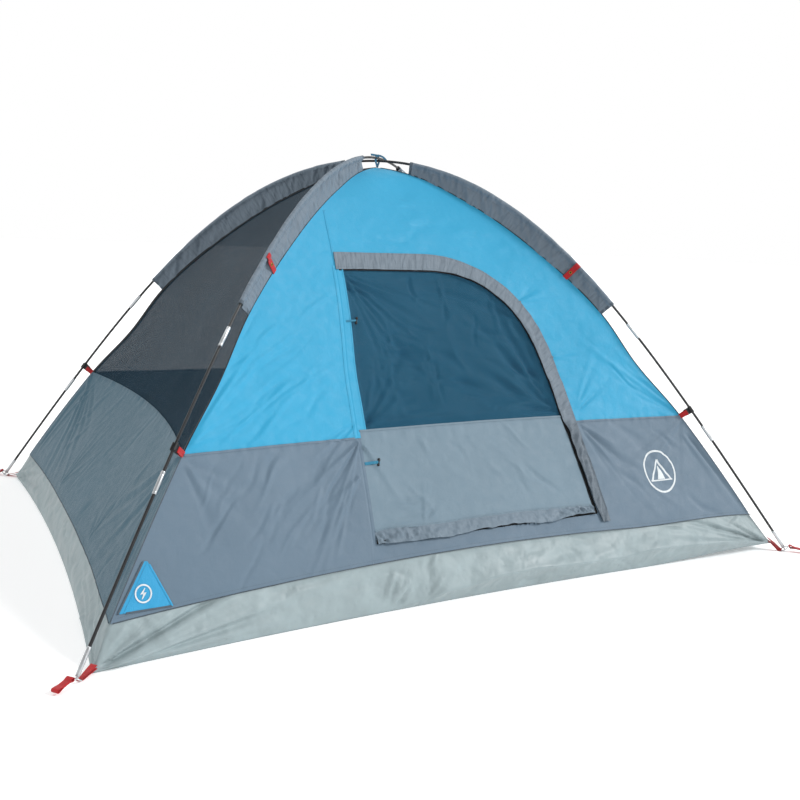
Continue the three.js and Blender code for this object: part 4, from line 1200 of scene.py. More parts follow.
def add_peak_ribbon():
    """Two strands from the peak, wrapped over both poles and tied in a small bow."""
    top = CROSS_Z + POLE_R + 0.003
    peak = PEAK_Z + 0.002
    for k, way in enumerate((-1, 1)):
        pairs = [(0.002 * way, peak), (0.007 * way, peak + 0.010), (0.012 * way, CROSS_Z - 0.014),
                 (0.011 * way, CROSS_Z - 0.002), (0.004 * way, top), (-0.003 * way, top + 0.0006)]
        shift = 0.003 * way
        path = bent([(x * 0.8, shift + 0.35 * x, z) for x, z in pairs], 40)
        name = f"peak_strand_{k + 1}"
        strap(name, path, (0.2, -1, 0.1), 0.008, 0.0007, dark_ribbon)
    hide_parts("peak_tie")
    knot_at = np.array([-0.001, -0.003, top + 0.0015])
    profile = [(-0.006, 0.0015), (-0.005, 0.0035), (0, 0.0042), (0.005, 0.0035), (0.006, 0.0015)]
    knot = turned_piece("peak_knot", knot_at, (1, 0.3, 0.2), (0, 0, 1), profile, dark_ribbon)
    ends = [
        [(0, 0, 0), (-0.010, 0.001, 0.001), (-0.020, -0.001, 0.0016), (-0.029, -0.004, 0.0012)],
        [(0, 0, 0), (0.010, -0.004, -0.001), (0.022, -0.008, -0.007), (0.030, -0.010, -0.015)],
        [(0, 0, 0), (-0.008, -0.006, -0.004), (-0.012, -0.009, -0.016), (-0.010, -0.010, -0.028)],
    ]
    for k, offsets in enumerate(ends):
        path = bent([knot_at + np.array(p) for p in offsets], 30)
        strap(f"peak_tail_{k + 1}", path, (0.1, -1, 0.35), 0.008, 0.0007, dark_ribbon)


add_peak_ribbon()

# ---------- bathtub floor ----------


def tub_folds(side, x, h, height):
    """Folds of the tub's wall, against the place along it and up it."""
    long = side in ("front", "back")
    half = FLOOR_CORNER_R * (COS if long else SIN)
    total = np.zeros_like(x)
    seed = 400 + 20 * SIDES.index(side)
    for way in (-1, 1):
        across = -x * way
        strength = 1.0 if long else 0.6
        corner = (-half + 0.004, 0.0)
        total += fan(across, h, corner, (3, 26), 12, 0.66, 0.015, 0.0120 * strength, seed + way)
        total += fan(across, h, corner, (36, 78), 7, 0.17, 0.010, 0.0060 * strength, seed + 9 + way)
        total += fan(across, h, corner, (10, 50), 9, 0.36, 0.006, 0.0042 * strength, seed + 30 + way)
        total += fan(across, h, (-half + 0.05, height), (-50, -12), 6, 0.20, 0.009, 0.0035, seed + 12 + way)
    total += creases(x, h, (-0.8 * half, 0.8 * half, 0.02, height), 14, 11, 0.34, 0.014, 0.0050, seed + 3)
    total += creases(x, h, (-0.9 * half, 0.9 * half, 0.01, height), -20, 12, 0.16, 0.010, 0.0040, seed + 4)
    total += creases(x, h, (-0.9 * half, 0.9 * half, 0.01, height), 65, 16, 0.07, 0.007, 0.0026, seed + 5)
    total += 0.0040 * noise(x * 7, h * 9, seed + 6) + 0.0022 * noise(x * 22, h * 24, seed + 7)
    if side == "front":
        total += creases(x, h, (-0.36, -0.18, 0.02, height), 70, 10, 0.10, 0.009, 0.0070, seed + 15)
        total += fan(x, h, (-0.24, 0.004), (20, 75), 5, 0.17, 0.009, 0.0070, seed + 16)
    return total


# height of the crease along which the door side's sheet turns under, right of the middle
TURN_UNDER = [
    (-0.34, 0.0), (-0.16, 0.034), (0.10, 0.056), (0.42, 0.050), (0.70, 0.058), (0.94, 0.030), (1.08, 0.002),
]


def turn_under(x, h, height):
    line = through(TURN_UNDER, x) + 0.004 * noise(x * 12, 0 * x, 480)
    line = np.maximum(line, 0.001)
    below = h / line
    above = 1 - (h - line) / (height - line)
    return 0.80 * line * np.where(h < line, below, np.clip(above, 0, 1) ** 1.6)


def add_tub():
    per_side, rings, steps = 260, 26, 36
    low, high, normals, flat_x, heights, names = [], [], [], [], [], []
    u = np.linspace(-1, 1, per_side, endpoint=False)
    for side in SIDES:
        long = side in ("front", "back")
        half = FLOOR_CORNER_R * (COS if long else SIN)
        out = FLOOR_CORNER_R * (SIN if long else COS)
        sag = through(SAG_LONG if long else SAG_SHORT, 0)
        line = np.stack([u * half, sag * (1 - u * u) - out, 0.0008 + corner_lift(side, u)], -1)
        low.append(turned(line, side))
        z = tub_height(side, u)
        high.append(wall(side, u * half_width(z, long), z, -0.0006))
        normals.append(turned(np.broadcast_to(unit(np.array([0, -1.0, 0.30])), (per_side, 3)), side))
        flat_x.append(u * half)
        heights.append(z)
        names += [side] * per_side
    low, high, normals = (np.concatenate(part) for part in (low, high, normals))
    flat_x, heights = np.concatenate(flat_x), np.concatenate(heights)
    v = np.linspace(0, 1, steps)[1:, None]
    around = np.array(names)
    folds = np.zeros((steps - 1, len(around)))
    for side in SIDES:
        mine = around == side
        folds[:, mine] = tub_folds(side, np.broadcast_to(flat_x[mine], (steps - 1, mine.sum())),
                                   v * heights[mine], 0.13)
    tied = smooth(v, 0, 0.16) * (1 - smooth(v, 0.86, 1.0))
    edge = np.abs(np.abs(np.concatenate([u] * 4)) - 1)
    tied = tied * smooth(edge, 0, 0.012)
    belly = 0.006 * np.sin(np.pi * np.clip(v * 1.15, 0, 1)) * smooth(edge, 0, 0.10)
    mine = around == "front"
    belly[:, mine] += turn_under(flat_x[mine] + 0 * v, v * heights[mine], heights[mine])
    walls = low + (high - low) * v[..., None] + normals * (folds * tied + belly)[..., None]
    walls[..., 2] = np.maximum(walls[..., 2], 0.0008)
    share = np.linspace(0.004, 1, rings)[:, None, None] ** 0.8
    floor = low * share
    x, y = floor[..., 0], floor[..., 1]
    swell = 0.5 + 0.35 * noise(x * 9, y * 9, 490) + 0.25 * noise(x * 25, y * 25, 491)
    swell = 0.0045 * np.clip(swell, 0, 1.2) * smooth(1 - share[..., 0], 0, 0.06)
    floor[..., 2] = low[:, 2] * share[..., 0] ** 6 + swell
    points = np.concatenate([floor, walls])
    uv = points[..., :2].copy()
    uv[rings:, :, 0] = flat_x
    uv[rings:, :, 1] = v * heights
    faces = [list(f) for f in grid_faces(*points.shape[:2], wrap=True)]
    faces.append(list(range(points.shape[1]))[::-1])
    piece = new_piece("tub_cloth_sheet", points, faces, tub_sheet, ROOT, uv=uv.reshape(-1, 2))
    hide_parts("floor_tub")


add_tub()

# ---------- walls ----------


def tape(name, side, xs, zs, width, lift, look, body=ROOT, thickness=0.0006, stitched=None):
    """A narrow strip of cloth sewn along a line on a wall, with a row of stitches if asked."""
    path = wall(side, xs, zs, lift)
    normal = turned(wall_normal(side, *np.broadcast_arrays(xs, zs)), side)
    across = unit(np.cross(unit(np.gradient(path, axis=0)), normal))
    points = sweep(path, across, normal, flat_section(width, thickness))
    piece = swept_piece(name, points, look, body)
    if stitched:
        for k, offset in enumerate((-0.28, 0.28)):
            row = path + across * width * offset + normal * (thickness / 2 + 0.0001)
            add_stitches(f"{name}_stitches_{k + 1}", row, across, normal, stitched, body=body)
    return piece


def rim_z(side, x):
    """Height of the tub's rim at a place along a wall."""
    long = side in ("front", "back")
    z = np.full_like(np.asarray(x, float), 0.12)
    for _ in range(4):
        z = tub_height(side, np.clip(x / half_width(z, long), -1, 1))
    return z


def lower_points(side, left, right, columns, rows, top=SEAM_Z + 0.003):
    """Grid of a lower wall between two edges, each a function of height."""
    share = np.linspace(0, 1, columns)
    start = np.full(columns, 0.12)
    x = left(start) + (right(start) - left(start)) * share
    foot = rim_z(side, x) - 0.006
    v = np.linspace(0, 1, rows)[:, None]
    z = foot + (top - foot) * v
    x = left(z) + (right(z) - left(z)) * share
    lift = 0.0012 + 0.0008 * (1 - smooth(v, 0, 0.05))
    return x, z, np.broadcast_to(lift, z.shape)


EDGE_CLEAR = 0.0008


def left_edge(long):
    return lambda z: -half_width(z, long) + EDGE_CLEAR


def right_edge(long):
    return lambda z: half_width(z, long) - EDGE_CLEAR


def add_plain_walls(side):
    long = side == "back"
    columns = 340 if long else 270
    x, z, lift = lower_points(side, left_edge(long), right_edge(long), columns, 62)
    low = wall(side, x, z, lift)
    # painted shade: these walls' lower cloth is the darker copy of the grey
    lower = grid_piece(f"lower_cloth_{side}", low, shaded_side_grey)
    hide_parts(f"lower_wall_{side}")
    declare(low)
    heights = edge_heights(SEAM_Z - 0.003, PEAK_Z, 0.010)[:, None]
    u = np.linspace(-1, 1, 190 if long else 150)
    up = wall(side, u * (half_width(heights, long) - EDGE_CLEAR), heights, -0.0004)
    upper = grid_piece(f"mesh_cloth_{side}", up, wall_mesh)
    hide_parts(f"mesh_wall_{side}")
    climb = edge_heights(SEAM_Z - 0.004, PEAK_Z - 0.001, 0.008)
    for label, way in (("left", -1), ("right", 1)):
        xs = way * np.maximum(half_width(climb, long) - 0.0062, 0.003)
        tape(f"mesh_binding_{side}_{label}", side, xs, climb, 0.012, 0.0006,
                            binding_black)
    half = half_width(SEAM_Z, long) - 0.004
    xs = np.linspace(-half, half, 300)
    seam = tape(f"wall_seam_{side}", side, xs, np.full_like(xs, SEAM_Z), 0.009, 0.0022, shaded_side_grey,
                stitched=stitch_grey)
    declare(up)


for side in ("right", "back", "left"):
    add_plain_walls(side)


def rim_trim_with_painted_shadow(side, left, right):
    """Seam where the lower wall is sewn over the tub's rim: a dark strip that is partly the wall's hem and
    partly painted shadow of the overlap, with a row of stitches.
    """
    xs = np.linspace(left, right, 360)
    zs = rim_z(side, xs)
    # the dark strip: painted shadow under the lower wall's hem where it overlaps the rim
    tape(f"rim_seam_{side}", side, xs, zs - 0.0052, 0.0026, 0.0022, binding_grey,
         thickness=0.0016)
    row = wall(side, xs, zs + 0.004, 0.0026)
    normal = turned(wall_normal(side, xs, zs), side)
    across = unit(np.cross(unit(np.gradient(row, axis=0)), normal))
    add_stitches(f"rim_stitches_{side}", row, across, normal, stitch_grey)


for side in SIDES:
    reach = half_width(TUB_CORNER_Z, side in ("front", "back")) - 0.004
    rim_trim_with_painted_shadow(side, -reach, reach)


def corner_welt(corner, label, low, high, look, radius=0.0016):
    """Welt along a corner edge, where two walls are sewn together."""
    zs = edge_heights(low, high, 0.008)
    radii = edge_radius(zs)
    path = radii[:, None] * CORNERS[corner] + zs[:, None] * UP
    across, normal = path_frames(path, CORNERS[corner] * 0.8 + UP * 0.6)
    points = sweep(path, across, normal, disc(radius, 8, 1.3))
    swept_piece(f"corner_welt_{label}_{corner}", points, look, ROOT)


for corner in CORNERS:
    foot = TUB_CORNER_Z + CORNER_LIFT * (corner == "front_right")
    corner_welt(corner, "low", foot, SEAM_Z, binding_grey)
    corner_welt(corner, "high", SEAM_Z, PEAK_Z, binding_black)

# ---------- door wall ----------


def cut_away(x, z, line, inside, cell):
    """Moves grid points that are next to a line onto it, and leaves out the quads inside it."""
    rows, columns = x.shape
    flat = np.stack([x.ravel(), z.ravel()], -1)
    tree = KDTree(len(line))
    for i, (a, b) in enumerate(line):
        tree.insert((a, b, 0), i)
    tree.balance()
    low, high = line.min(0) - 2 * cell, line.max(0) + 2 * cell
    near = np.where(((flat > low) & (flat < high)).all(1))[0]
    for i in near:
        point, _, away = tree.find((flat[i, 0], flat[i, 1], 0))
        if away < 0.55 * cell:
            flat[i] = point[:2]
    faces = grid_faces(rows, columns)
    middle = flat[faces].mean(1)
    faces = faces[~inside(middle[:, 0], middle[:, 1])]
    used = np.unique(faces)
    fresh = np.full(len(flat), -1)
    fresh[used] = np.arange(len(used))
    return flat[used, 0], flat[used, 1], fresh[faces], used


def door_line(grow, hinge_shift, foot):
    """Dense outline of the door's opening: hinge, top, arch, side and foot."""
    line = zip_line(grow, foot, 0.001, hinge_shift)
    top = DOOR_TOP_Z + grow
    z = np.linspace(foot, top, 800)
    hinge = np.stack([hinge_x(z) + hinge_shift, z], -1)
    x = np.linspace(hinge_x(foot) + hinge_shift, zip_x(foot, grow), 800)
    return np.concatenate([line, hinge, np.stack([x, np.full_like(x, foot)], -1)])


def in_door(grow, hinge_shift, foot):
    top = DOOR_TOP_Z + grow
    return lambda x, z: (z > foot) & (z < top) & (x > hinge_x(z) + hinge_shift) & (x < zip_x(z, grow))


OPENING = (DOOR_GAP, -HINGE_GAP, DOOR_FOOT_Z - DOOR_GAP)


def add_front_upper():
    heights = edge_heights(SEAM_Z - 0.002, PEAK_Z, 0.0062)[:, None]
    u = np.linspace(-1, 1, 360)
    x = u * (half_width(heights, True) - EDGE_CLEAR)
    z = np.broadcast_to(heights, x.shape)
    cx, cz, faces, _ = cut_away(x, z, door_line(*OPENING), in_door(*OPENING), 0.0066)
    points = wall("front", cx, cz, 0.0004)
    uv = np.stack([cx, cz * 1.25], -1)
    piece = new_piece("front_blue_cloth", points, faces, blue, ROOT, uv=uv)
    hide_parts("front_upper_wall")
    (width, length), _ = flat_of(wall("front", x[::6], z[::6], 0.0))


def add_front_lower():
    x, z, lift = lower_points("front", left_edge(True), lambda h: hinge_x(h) - HINGE_GAP, 190, 62)
    points = wall("front", x, z, lift)
    left = grid_piece("front_grey_cloth_left", points, grey)
    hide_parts("front_lower_left")
    declare(points)
    x, z, lift = lower_points("front", lambda h: hinge_x(h) - HINGE_GAP + 0.0005, right_edge(True), 240, 62)
    cx, cz, faces, used = cut_away(x, z, door_line(*OPENING), in_door(*OPENING), 0.0060)
    points = wall("front", cx, cz, lift.ravel()[used])
    right = new_piece("front_grey_cloth_right", points, faces, grey, ROOT,
                      uv=np.stack([cx, cz * 1.2], -1))
    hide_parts("front_lower_right")
    (width, length), _ = flat_of(wall("front", x, z, 0.0))


add_front_upper()
add_front_lower()


def front_seams():
    """Level seam between blue and grey, and the upright seam above the hinge."""
    spans = {
        "left": (-half_width(SEAM_Z, True) + 0.004, hinge_x(SEAM_Z) - HINGE_GAP - 0.002),
        "right": (zip_x(SEAM_Z, FLAP_WIDTH) - 0.004, half_width(SEAM_Z, True) - 0.004),
    }
    for label, (start, end) in spans.items():
        xs = np.linspace(start, end, 160)
        tape(f"front_seam_{label}", "front", xs, np.full_like(xs, SEAM_Z), 0.007, 0.0022, grey,
             stitched=stitch_grey)
    zs = edge_heights(DOOR_TOP_Z + 0.004, 1.120, 0.006)
    xs = hinge_x(zs) - 0.004 * smooth(zs, DOOR_TOP_Z, 1.10)
    tape("front_seam_upright", "front", xs, zs, 0.008, 0.0010, blue, stitched=stitch_blue)


front_seams()


def door_grid(left, low, high, rows, columns, right_gap=DOOR_GAP):
    """Grid between a left edge and the zip, with rows that stay even round the arch."""
    line = zip_line(-right_gap, low, 0.001)[::-1]
    line = line[(line[:, 1] >= low) & (line[:, 1] <= high)]
    line = line[line[:, 0] >= ARCH_END_X - 0.002]
    run = np.concatenate([[0], np.cumsum(np.linalg.norm(np.diff(line, axis=0), axis=1))])
    places = np.linspace(0, run[-1], rows)
    zs = np.interp(places, run, line[:, 1])[:, None]
    rights = np.interp(places, run, line[:, 0])[:, None]
    share = np.linspace(0, 1, columns)
    start = left(zs)
    return start + (rights - start) * share, np.broadcast_to(zs, (rows, columns))


def window_left(z):
    return -0.328 + 0.027 * (z - 0.473) / 0.473


def cover_folds(x, z):
    h = fan(x, z, (-0.30, 0.93), (-75, -15), 7, 0.5, 0.016, 0.0060, 500)
    h += fan(x, z, (0.40, 0.50), (110, 175), 8, 0.5, 0.016, 0.0060, 501)
    h += fan(x, z, (-0.32, 0.49), (10, 60), 5, 0.4, 0.014, 0.0050, 502)
    h += creases(x, z, (-0.28, 0.35, 0.50, 0.90), 88, 8, 0.20, 0.008, 0.0030, 503)
    h += creases(x, z, (-0.28, 0.30, 0.50, 0.90), -10, 16, 0.26, 0.006, 0.0030, 506)
    h += creases(x, z, (-0.28, 0.35, 0.50, 0.90), -18, 14, 0.30, 0.016, 0.0065, 504)
    h += 0.004 * noise(x * 9, z * 9, 505)
    return -0.0035 - 1.9 * np.abs(h)


def add_door():
    hinge_side = lambda z: hinge_x(z) + HINGE_GAP
    x, z = door_grid(hinge_side, DOOR_FOOT_Z + 0.003, WINDOW_FOOT_Z + 0.004, 50, 130)
    points = wall("front", x, z, 0.0006)
    lower = grid_piece("door_grey_cloth", points, door_grey, DOOR)
    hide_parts("door_lower_panel")
    declare(points)
    x, z = door_grid(window_left, WINDOW_FOOT_Z - 0.004, DOOR_TOP_Z - DOOR_GAP, 110, 110)
    points = wall("front", x, z, 0.0)
    mesh = grid_piece("door_mesh_cloth", points, window_mesh, DOOR)
    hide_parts("door_window")
    declare(points)
    inner = lambda z: window_left(z) - 0.006
    x, z = door_grid(inner, WINDOW_FOOT_Z, DOOR_TOP_Z - DOOR_GAP, 110, 120)
    edge = smooth(np.minimum.reduce([x - x[:, :1], x[:, -1:] - x, z - z.min(), z.max() - z]), 0, 0.03)
    points = wall("front", x, z, COVER_LIFT * (0.5 + 0.5 * edge) + cover_folds(x, z) * edge)
    cover = grid_piece("door_cover_cloth", points, cover_blue, DOOR)
    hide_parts("door_privacy_cover")
    declare(points)
    # the strip between the hinge seam and the mesh
    zs = np.linspace(WINDOW_FOOT_Z - 0.002, DOOR_TOP_Z - DOOR_GAP, 90)[:, None]
    share = np.linspace(0, 1, 8)
    start, end = hinge_side(zs), window_left(zs) + 0.004
    x = start + (end - start) * share
    points = wall("front", x, np.broadcast_to(zs, x.shape), 0.0009)
    strip = grid_piece("door_blue_strip", points, blue, DOOR)
    declare(points)
    zs = np.linspace(WINDOW_FOOT_Z, DOOR_TOP_Z - DOOR_GAP, 120)
    tape("door_strip_hem", "front", window_left(zs) + 0.002, zs, 0.005, 0.0012, blue, DOOR,
         stitched=stitch_blue)
    xs = np.linspace(hinge_x(WINDOW_FOOT_Z) + HINGE_GAP, zip_x(WINDOW_FOOT_Z, -DOOR_GAP) - 0.002, 180)
    zs = np.full_like(xs, WINDOW_FOOT_Z)
    tape("door_panel_seam", "front", xs, zs, 0.007, 0.0016, door_grey,
         DOOR, stitched=stitch_grey)


add_door()


def hinge_strip(name, low, high, look):
    """Cloth along the hinge seam between the tent and the door, riding on no body."""
    zs = np.linspace(low, high, max(int((high - low) / 0.006), 4))[:, None]
    offsets = np.linspace(-0.0105, 0.0105, 15)
    x = hinge_x(zs) + offsets
    groove = 0.0013 - 0.0009 * np.exp(-((offsets / 0.0022) ** 2))
    points = wall("front", x, np.broadcast_to(zs, x.shape), np.broadcast_to(groove, x.shape))
    piece = grid_piece(name, points, look, None)
    middle = (low + high) / 2
    at = wall("front", hinge_x(middle), middle)
    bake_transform(piece)


hinge_strip("hinge_strip_grey", 0.150, SEAM_Z, grey)
hinge_strip("hinge_strip_blue", SEAM_Z + 0.0006, DOOR_TOP_Z + 0.006, blue)

# ---------- zip, storm flap and foot flap ----------


def zip_path(grow, side_count, foot_count):
    """The zip's line from the top of the hinge, round the arch, down the side and back along the foot."""
    foot = DOOR_FOOT_Z - grow
    line = zip_line(grow, foot, 0.001, HINGE_GAP)
    run = np.linspace(0, len(line) - 1, side_count)
    side = np.stack([np.interp(run, np.arange(len(line)), line[:, i]) for i in (0, 1)], -1)
    x = np.linspace(side[-1, 0], hinge_x(foot) + HINGE_GAP, foot_count)[1:]
    return np.concatenate([side, np.stack([x, np.full_like(x, foot)], -1)])


def zip_half(name, grows, lift, body):
    """Tape of one half of the zip."""
    lines = np.array([zip_path(grow, 380, 160) for grow in grows])
    # under the arch the tape's outer edge lies closer to the teeth
    near = 0.6 * (1 - smooth(lines[2, :, 1:], SEAM_Z - 0.05, SEAM_Z))
    lines[2] += (lines[0] - lines[2]) * near
    points = wall("front", lines[..., 0], lines[..., 1], lift)
    return grid_piece(name, points.transpose(1, 0, 2), zip_tape, body)


def zip_teeth(name, way, body):
    """Coil teeth of one half: they reach across the middle between the other half's teeth."""
    line = zip_path(0, 1500, 800)
    run = np.concatenate([[0], np.cumsum(np.linalg.norm(np.diff(line, axis=0), axis=1))])
    pitch, wide, high = 0.0026, 0.0012, 0.0011
    places = np.arange(pitch * (0.5 if way > 0 else 1.0), run[-1] - pitch, pitch)
    at = np.stack([np.interp(places, run, line[:, i]) for i in (0, 1)], -1)
    ahead = np.stack([np.interp(places + 0.0005, run, line[:, i]) for i in (0, 1)], -1)
    along = unit(ahead - at)
    out = np.stack([-along[:, 1], along[:, 0]], -1) * way
    near, far = -0.0007, 0.0030
    corners = []
    for lift in (0.0002, 0.0002 + high):
        for a, b in ((-1, near), (1, near), (1, far), (-1, far)):
            trim = 0.75 if lift > 0.001 else 1.0
            flat = at + along * (a * wide / 2 * trim) + out * b
            corners.append(wall("front", flat[:, 0], flat[:, 1], lift + 0.0004))
    points = np.stack(corners, 1).reshape(-1, 3)
    box = np.array([[0, 1, 5, 4], [1, 2, 6, 5], [2, 3, 7, 6], [3, 0, 4, 7], [4, 5, 6, 7], [3, 2, 1, 0]])
    faces = (np.arange(len(at)) * 8)[:, None, None] + box
    new_piece(name, points, faces.reshape(-1, 4), coil_black, body)


tent_tape = zip_half("zip_tape_tent", (0.0008, 0.006, 0.013), -0.0002, ROOT)
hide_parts("door_zip")
zip_half("zip_tape_door", (-0.0008, -0.004, -0.0105), 0.0011, DOOR)
zip_teeth("zip_teeth_tent", -1, ROOT)
zip_teeth("zip_teeth_door", 1, DOOR)


def add_storm_flap():
    """A doubled band of cloth sewn outside the zip, its free edge over the teeth."""
    count = 560
    across = np.linspace(0, 1, 16)

    def grows_at(share):
        return -0.0075 + (FLAP_WIDTH + 0.0075) * share

    rows = []
    for share in across:
        line = zip_line(grows_at(share), FLAP_FOOT_Z - 0.004, 0.001)
        run = np.linspace(0, len(line) - 1, count)
        rows.append(np.stack([np.interp(run, np.arange(len(line)), line[:, i]) for i in (0, 1)], -1))
    line = np.array(rows).transpose(1, 0, 2)
    x, z = line[..., 0], line[..., 1]
    run = np.cumsum(np.concatenate([[0], np.linalg.norm(np.diff(line[:, 6], axis=0), axis=1)]))[:, None]
    low = 1 - smooth(z, SEAM_Z - 0.03, SEAM_Z + 0.01)
    # below the arch the free edge stands back from the zip and shows its teeth
    back = low * (0.009 + 0.004 * noise(run / 0.07, 0 * run, 601) + 0.014 * (1 - smooth(z, 0.16, 0.26)))
    x = x + back * (1 - across) * 0.9
    bow = np.sin(np.pi * np.clip(z - 0.30, 0, 0.66) / 0.66)
    free = 1 - across
    pleat = noise((run + 0.25 * across * FLAP_WIDTH) / 0.016, across * 1.6, 602) * (0.35 + 0.65 * bow)
    pleat = pleat + 0.8 * noise((run - 0.5 * across * FLAP_WIDTH) / 0.045, across * 1.2, 603)
    shape = np.sin(np.pi * np.clip(across, 0.04, 1)) ** 0.7
    ripple = noise(run / 0.03, 0 * run, 604)
    rumple = noise((run + 0.9 * across * FLAP_WIDTH) / 0.026, across * 2, 605)
    lift = 0.0022 + 0.0030 * free ** 0.8 + 0.0036 * pleat * shape + 0.0010 * ripple * free
    lift = lift + low * (0.0034 + 0.0085 * rumple * shape)
    front = wall("front", x, z, np.maximum(lift, 0.0036))
    under = wall("front", x[:, ::-1], z[:, ::-1], np.maximum(lift[:, ::-1] - 0.0011, 0.0024))
    points = np.concatenate([under[:, 2:], front], axis=1)[:, ::-1]
    piece = grid_piece("storm_flap_cloth", points, flap_grey)
    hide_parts("storm_flap")
    declare(points)
    for label, index in (("edge", 2), ("seam", 14)):
        path = front[:, index]
        normal = turned(wall_normal("front", x[:, index], z[:, index]), "front")
        side = unit(np.cross(unit(np.gradient(path, axis=0)), normal))
        add_stitches(f"storm_flap_stitches_{label}", path + normal * 0.0003, side, normal, stitch_grey)


def add_foot_flap():
    """Flap sewn to the door above the zip's foot, hanging loose and crumpled."""
    left, right = hinge_x(DOOR_FOOT_Z) + 0.012, zip_x(DOOR_FOOT_Z) - 0.010
    x = np.linspace(left, right, 340)
    top = 0.2190 + 0.0045 * noise(x / 0.16, 0 * x, 610) + 0.004 * np.sin((x - left) * 5)
    foot = 0.1870 + 0.0060 * noise(x / 0.11, 0 * x, 611) + 0.0022 * noise(x / 0.025, 0 * x, 615)
    v = np.linspace(0, 1, 24)[:, None]
    z = top + (foot - top) * v
    crumple = noise(x / 0.034 + 1.2 * v, v * 1.6, 612) + 0.8 * noise(x / 0.014 - v, v * 2.4, 613)
    crumple = crumple + 0.35 * noise(x / 0.0065 + 0.8 * v, v * 4.0, 616)
    rough = 0.55 + 0.45 * noise(x / 0.13, 0 * x, 614)
    swell = np.sin(np.pi * np.clip(v, 0.02, 0.80))
    lift = 0.0034 + 0.0070 * v + 0.0115 * crumple * rough * (0.25 + 0.75 * swell)
    lift = lift - 0.0010 * np.exp(-(((v - 0.10) / 0.06) ** 2))
    points = wall("front", np.broadcast_to(x, z.shape), z, np.maximum(lift, 0.0012))
    piece = grid_piece("foot_flap_cloth", points, foot_grey, DOOR)
    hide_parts("door_foot_flap")
    declare(points)
    tape("foot_flap_seam", "front", x, top + 0.001, 0.006, 0.0020, door_grey, DOOR,
         stitched=stitch_grey)


add_storm_flap()
add_foot_flap()

# ---------- small pieces on the door wall ----------


def front_basis(x, z, along):
    """Place on the door wall: point, forward, across and outward directions."""
    at = wall("front", x, z)
    normal = wall_normal("front", np.asarray(x, float), np.asarray(z, float))
    ahead = unit(wall("front", x + along[0] * 0.02, z + along[1] * 0.02) - at)
    across = unit(np.cross(normal, ahead))
    return at, np.cross(across, normal), across, normal


def plate(name, outline, low, high, basis, look, body, edge=0.0006):
    """A flat outline of (along, across), thickened between two lifts, with rounded edges."""
    at, forward, across, normal = basis
    outline = np.asarray(outline, float)
    face = at + outline[:, :1] * forward + outline[:, 1:] * across
    count = len(outline)
    points = np.concatenate([face + normal * low, face + normal * high])
    faces = [list(range(count))[::-1], [count + i for i in range(count)]]
    faces += [[i, (i + 1) % count, count + (i + 1) % count, count + i] for i in range(count)]
    return bevel(new_piece(name, points, faces, look, body, smooth_shade=False), edge)


def rounded(start, end, half, corner=6):
    """Outline of a bar with round ends."""
    right = [(end - half + half * math.sin(a), half * math.cos(a)) for a in np.linspace(0, math.pi, corner)]
    left = [(start + half - half * math.sin(a), -half * math.cos(a)) for a in np.linspace(0, math.pi, corner)]
    return right + left


def add_slider(name, x, z, along):
    basis = front_basis(x, z, along)
    body = [(-0.008, -0.0032), (0.005, -0.0040), (0.009, -0.0016),
            (0.009, 0.0016), (0.005, 0.0040), (-0.008, 0.0032)]
    lower = plate(f"{name}_base", body, -0.0062, -0.0046, basis, slider_metal, name)
    plate(f"{name}_top", body, -0.0092, -0.0078, basis, slider_metal, name)
    core = rounded(-0.001, 0.006, 0.0012)
    plate(f"{name}_core", core, -0.0080, -0.0060, basis, slider_metal, name)
    pull = rounded(-0.0255, -0.0075, 0.0019)
    plate(f"{name}_pull", pull, -0.0078, -0.0064, basis, slider_metal, name, 0.0004)
    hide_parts(name)


zip_lean = ((DOOR_SIDE_X - DOOR_FOOT_X) / (DOOR_ARCH_Z - DOOR_FOOT_Z), 1.0)
add_slider("zip_slider_foot", DOOR_FOOT_X - 0.016, DOOR_FOOT_Z, (-1.0, 0.0))
add_slider("zip_slider_side", DOOR_FOOT_X - 0.005, DOOR_FOOT_Z + 0.058, zip_lean)


def add_tie_back(name, z, length, ribbon_width):
    """A ribbon loop from the hinge seam with a toggle through its end."""
    at, forward, across, normal = front_basis(hinge_x(z) + HINGE_GAP + 0.002, z, (1.0, 0.0))
    reach = length - 0.004
    pairs = [(0, 0.0016), (reach * 0.5, 0.0052), (reach - 0.004, 0.0066), (reach + 0.0026, 0.0052),
             (reach - 0.003, 0.0030), (reach * 0.5, 0.0022), (0, 0.0008)]
    path = bent([at + forward * a + normal * b for a, b in pairs], 60)
    width = np.broadcast_to(across, path.shape)
    facing = unit(np.cross(width, unit(np.gradient(path, axis=0))))
    points = sweep(path, width, facing, flat_section(ribbon_width, 0.0007))
    ribbon = swept_piece(f"{name}_ribbon", points, blue_ribbon, name)
    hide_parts(name)
    middle = at + forward * (reach - 0.001) + normal * 0.0049
    half = 0.0125
    profile = [(-half, 0.0016), (-half + 0.0008, 0.0034), (-half + 0.004, 0.0044), (-0.005, 0.0038),
               (-0.0035, 0.0028), (0.0035, 0.0028), (0.005, 0.0038), (half - 0.004, 0.0044),
               (half - 0.0008, 0.0034), (half, 0.0016)]
    leaning = unit(across + 0.35 * forward)
    turned_piece(f"{name}_toggle", middle, leaning, normal, profile, clip_black, name, 16)


add_tie_back("tie_back_upper", 0.787, 0.040, 0.006)
add_tie_back("tie_back_lower", 0.392, 0.050, 0.009)

PORT_PEAK, PORT_LEFT, PORT_RIGHT, PORT_FOOT_Z = (-1.008, 0.226), -1.078, -0.957, 0.118
PORT_LIFT = 0.0032


def printed(name, lines, lift, look, body):
    """Flat ink shapes on the door wall: each is a grid of (x, z) places."""
    points, faces = [], []
    for line in lines:
        rows, columns = line.shape[:2]
        faces += [[int(i) + len(points) for i in f] for f in grid_faces(rows, columns)]
        points += list(wall("front", line[..., 0], line[..., 1], lift).reshape(-1, 3))
    return new_piece(name, points, faces, look, body, uv=np.array(points)[:, [0, 2]])


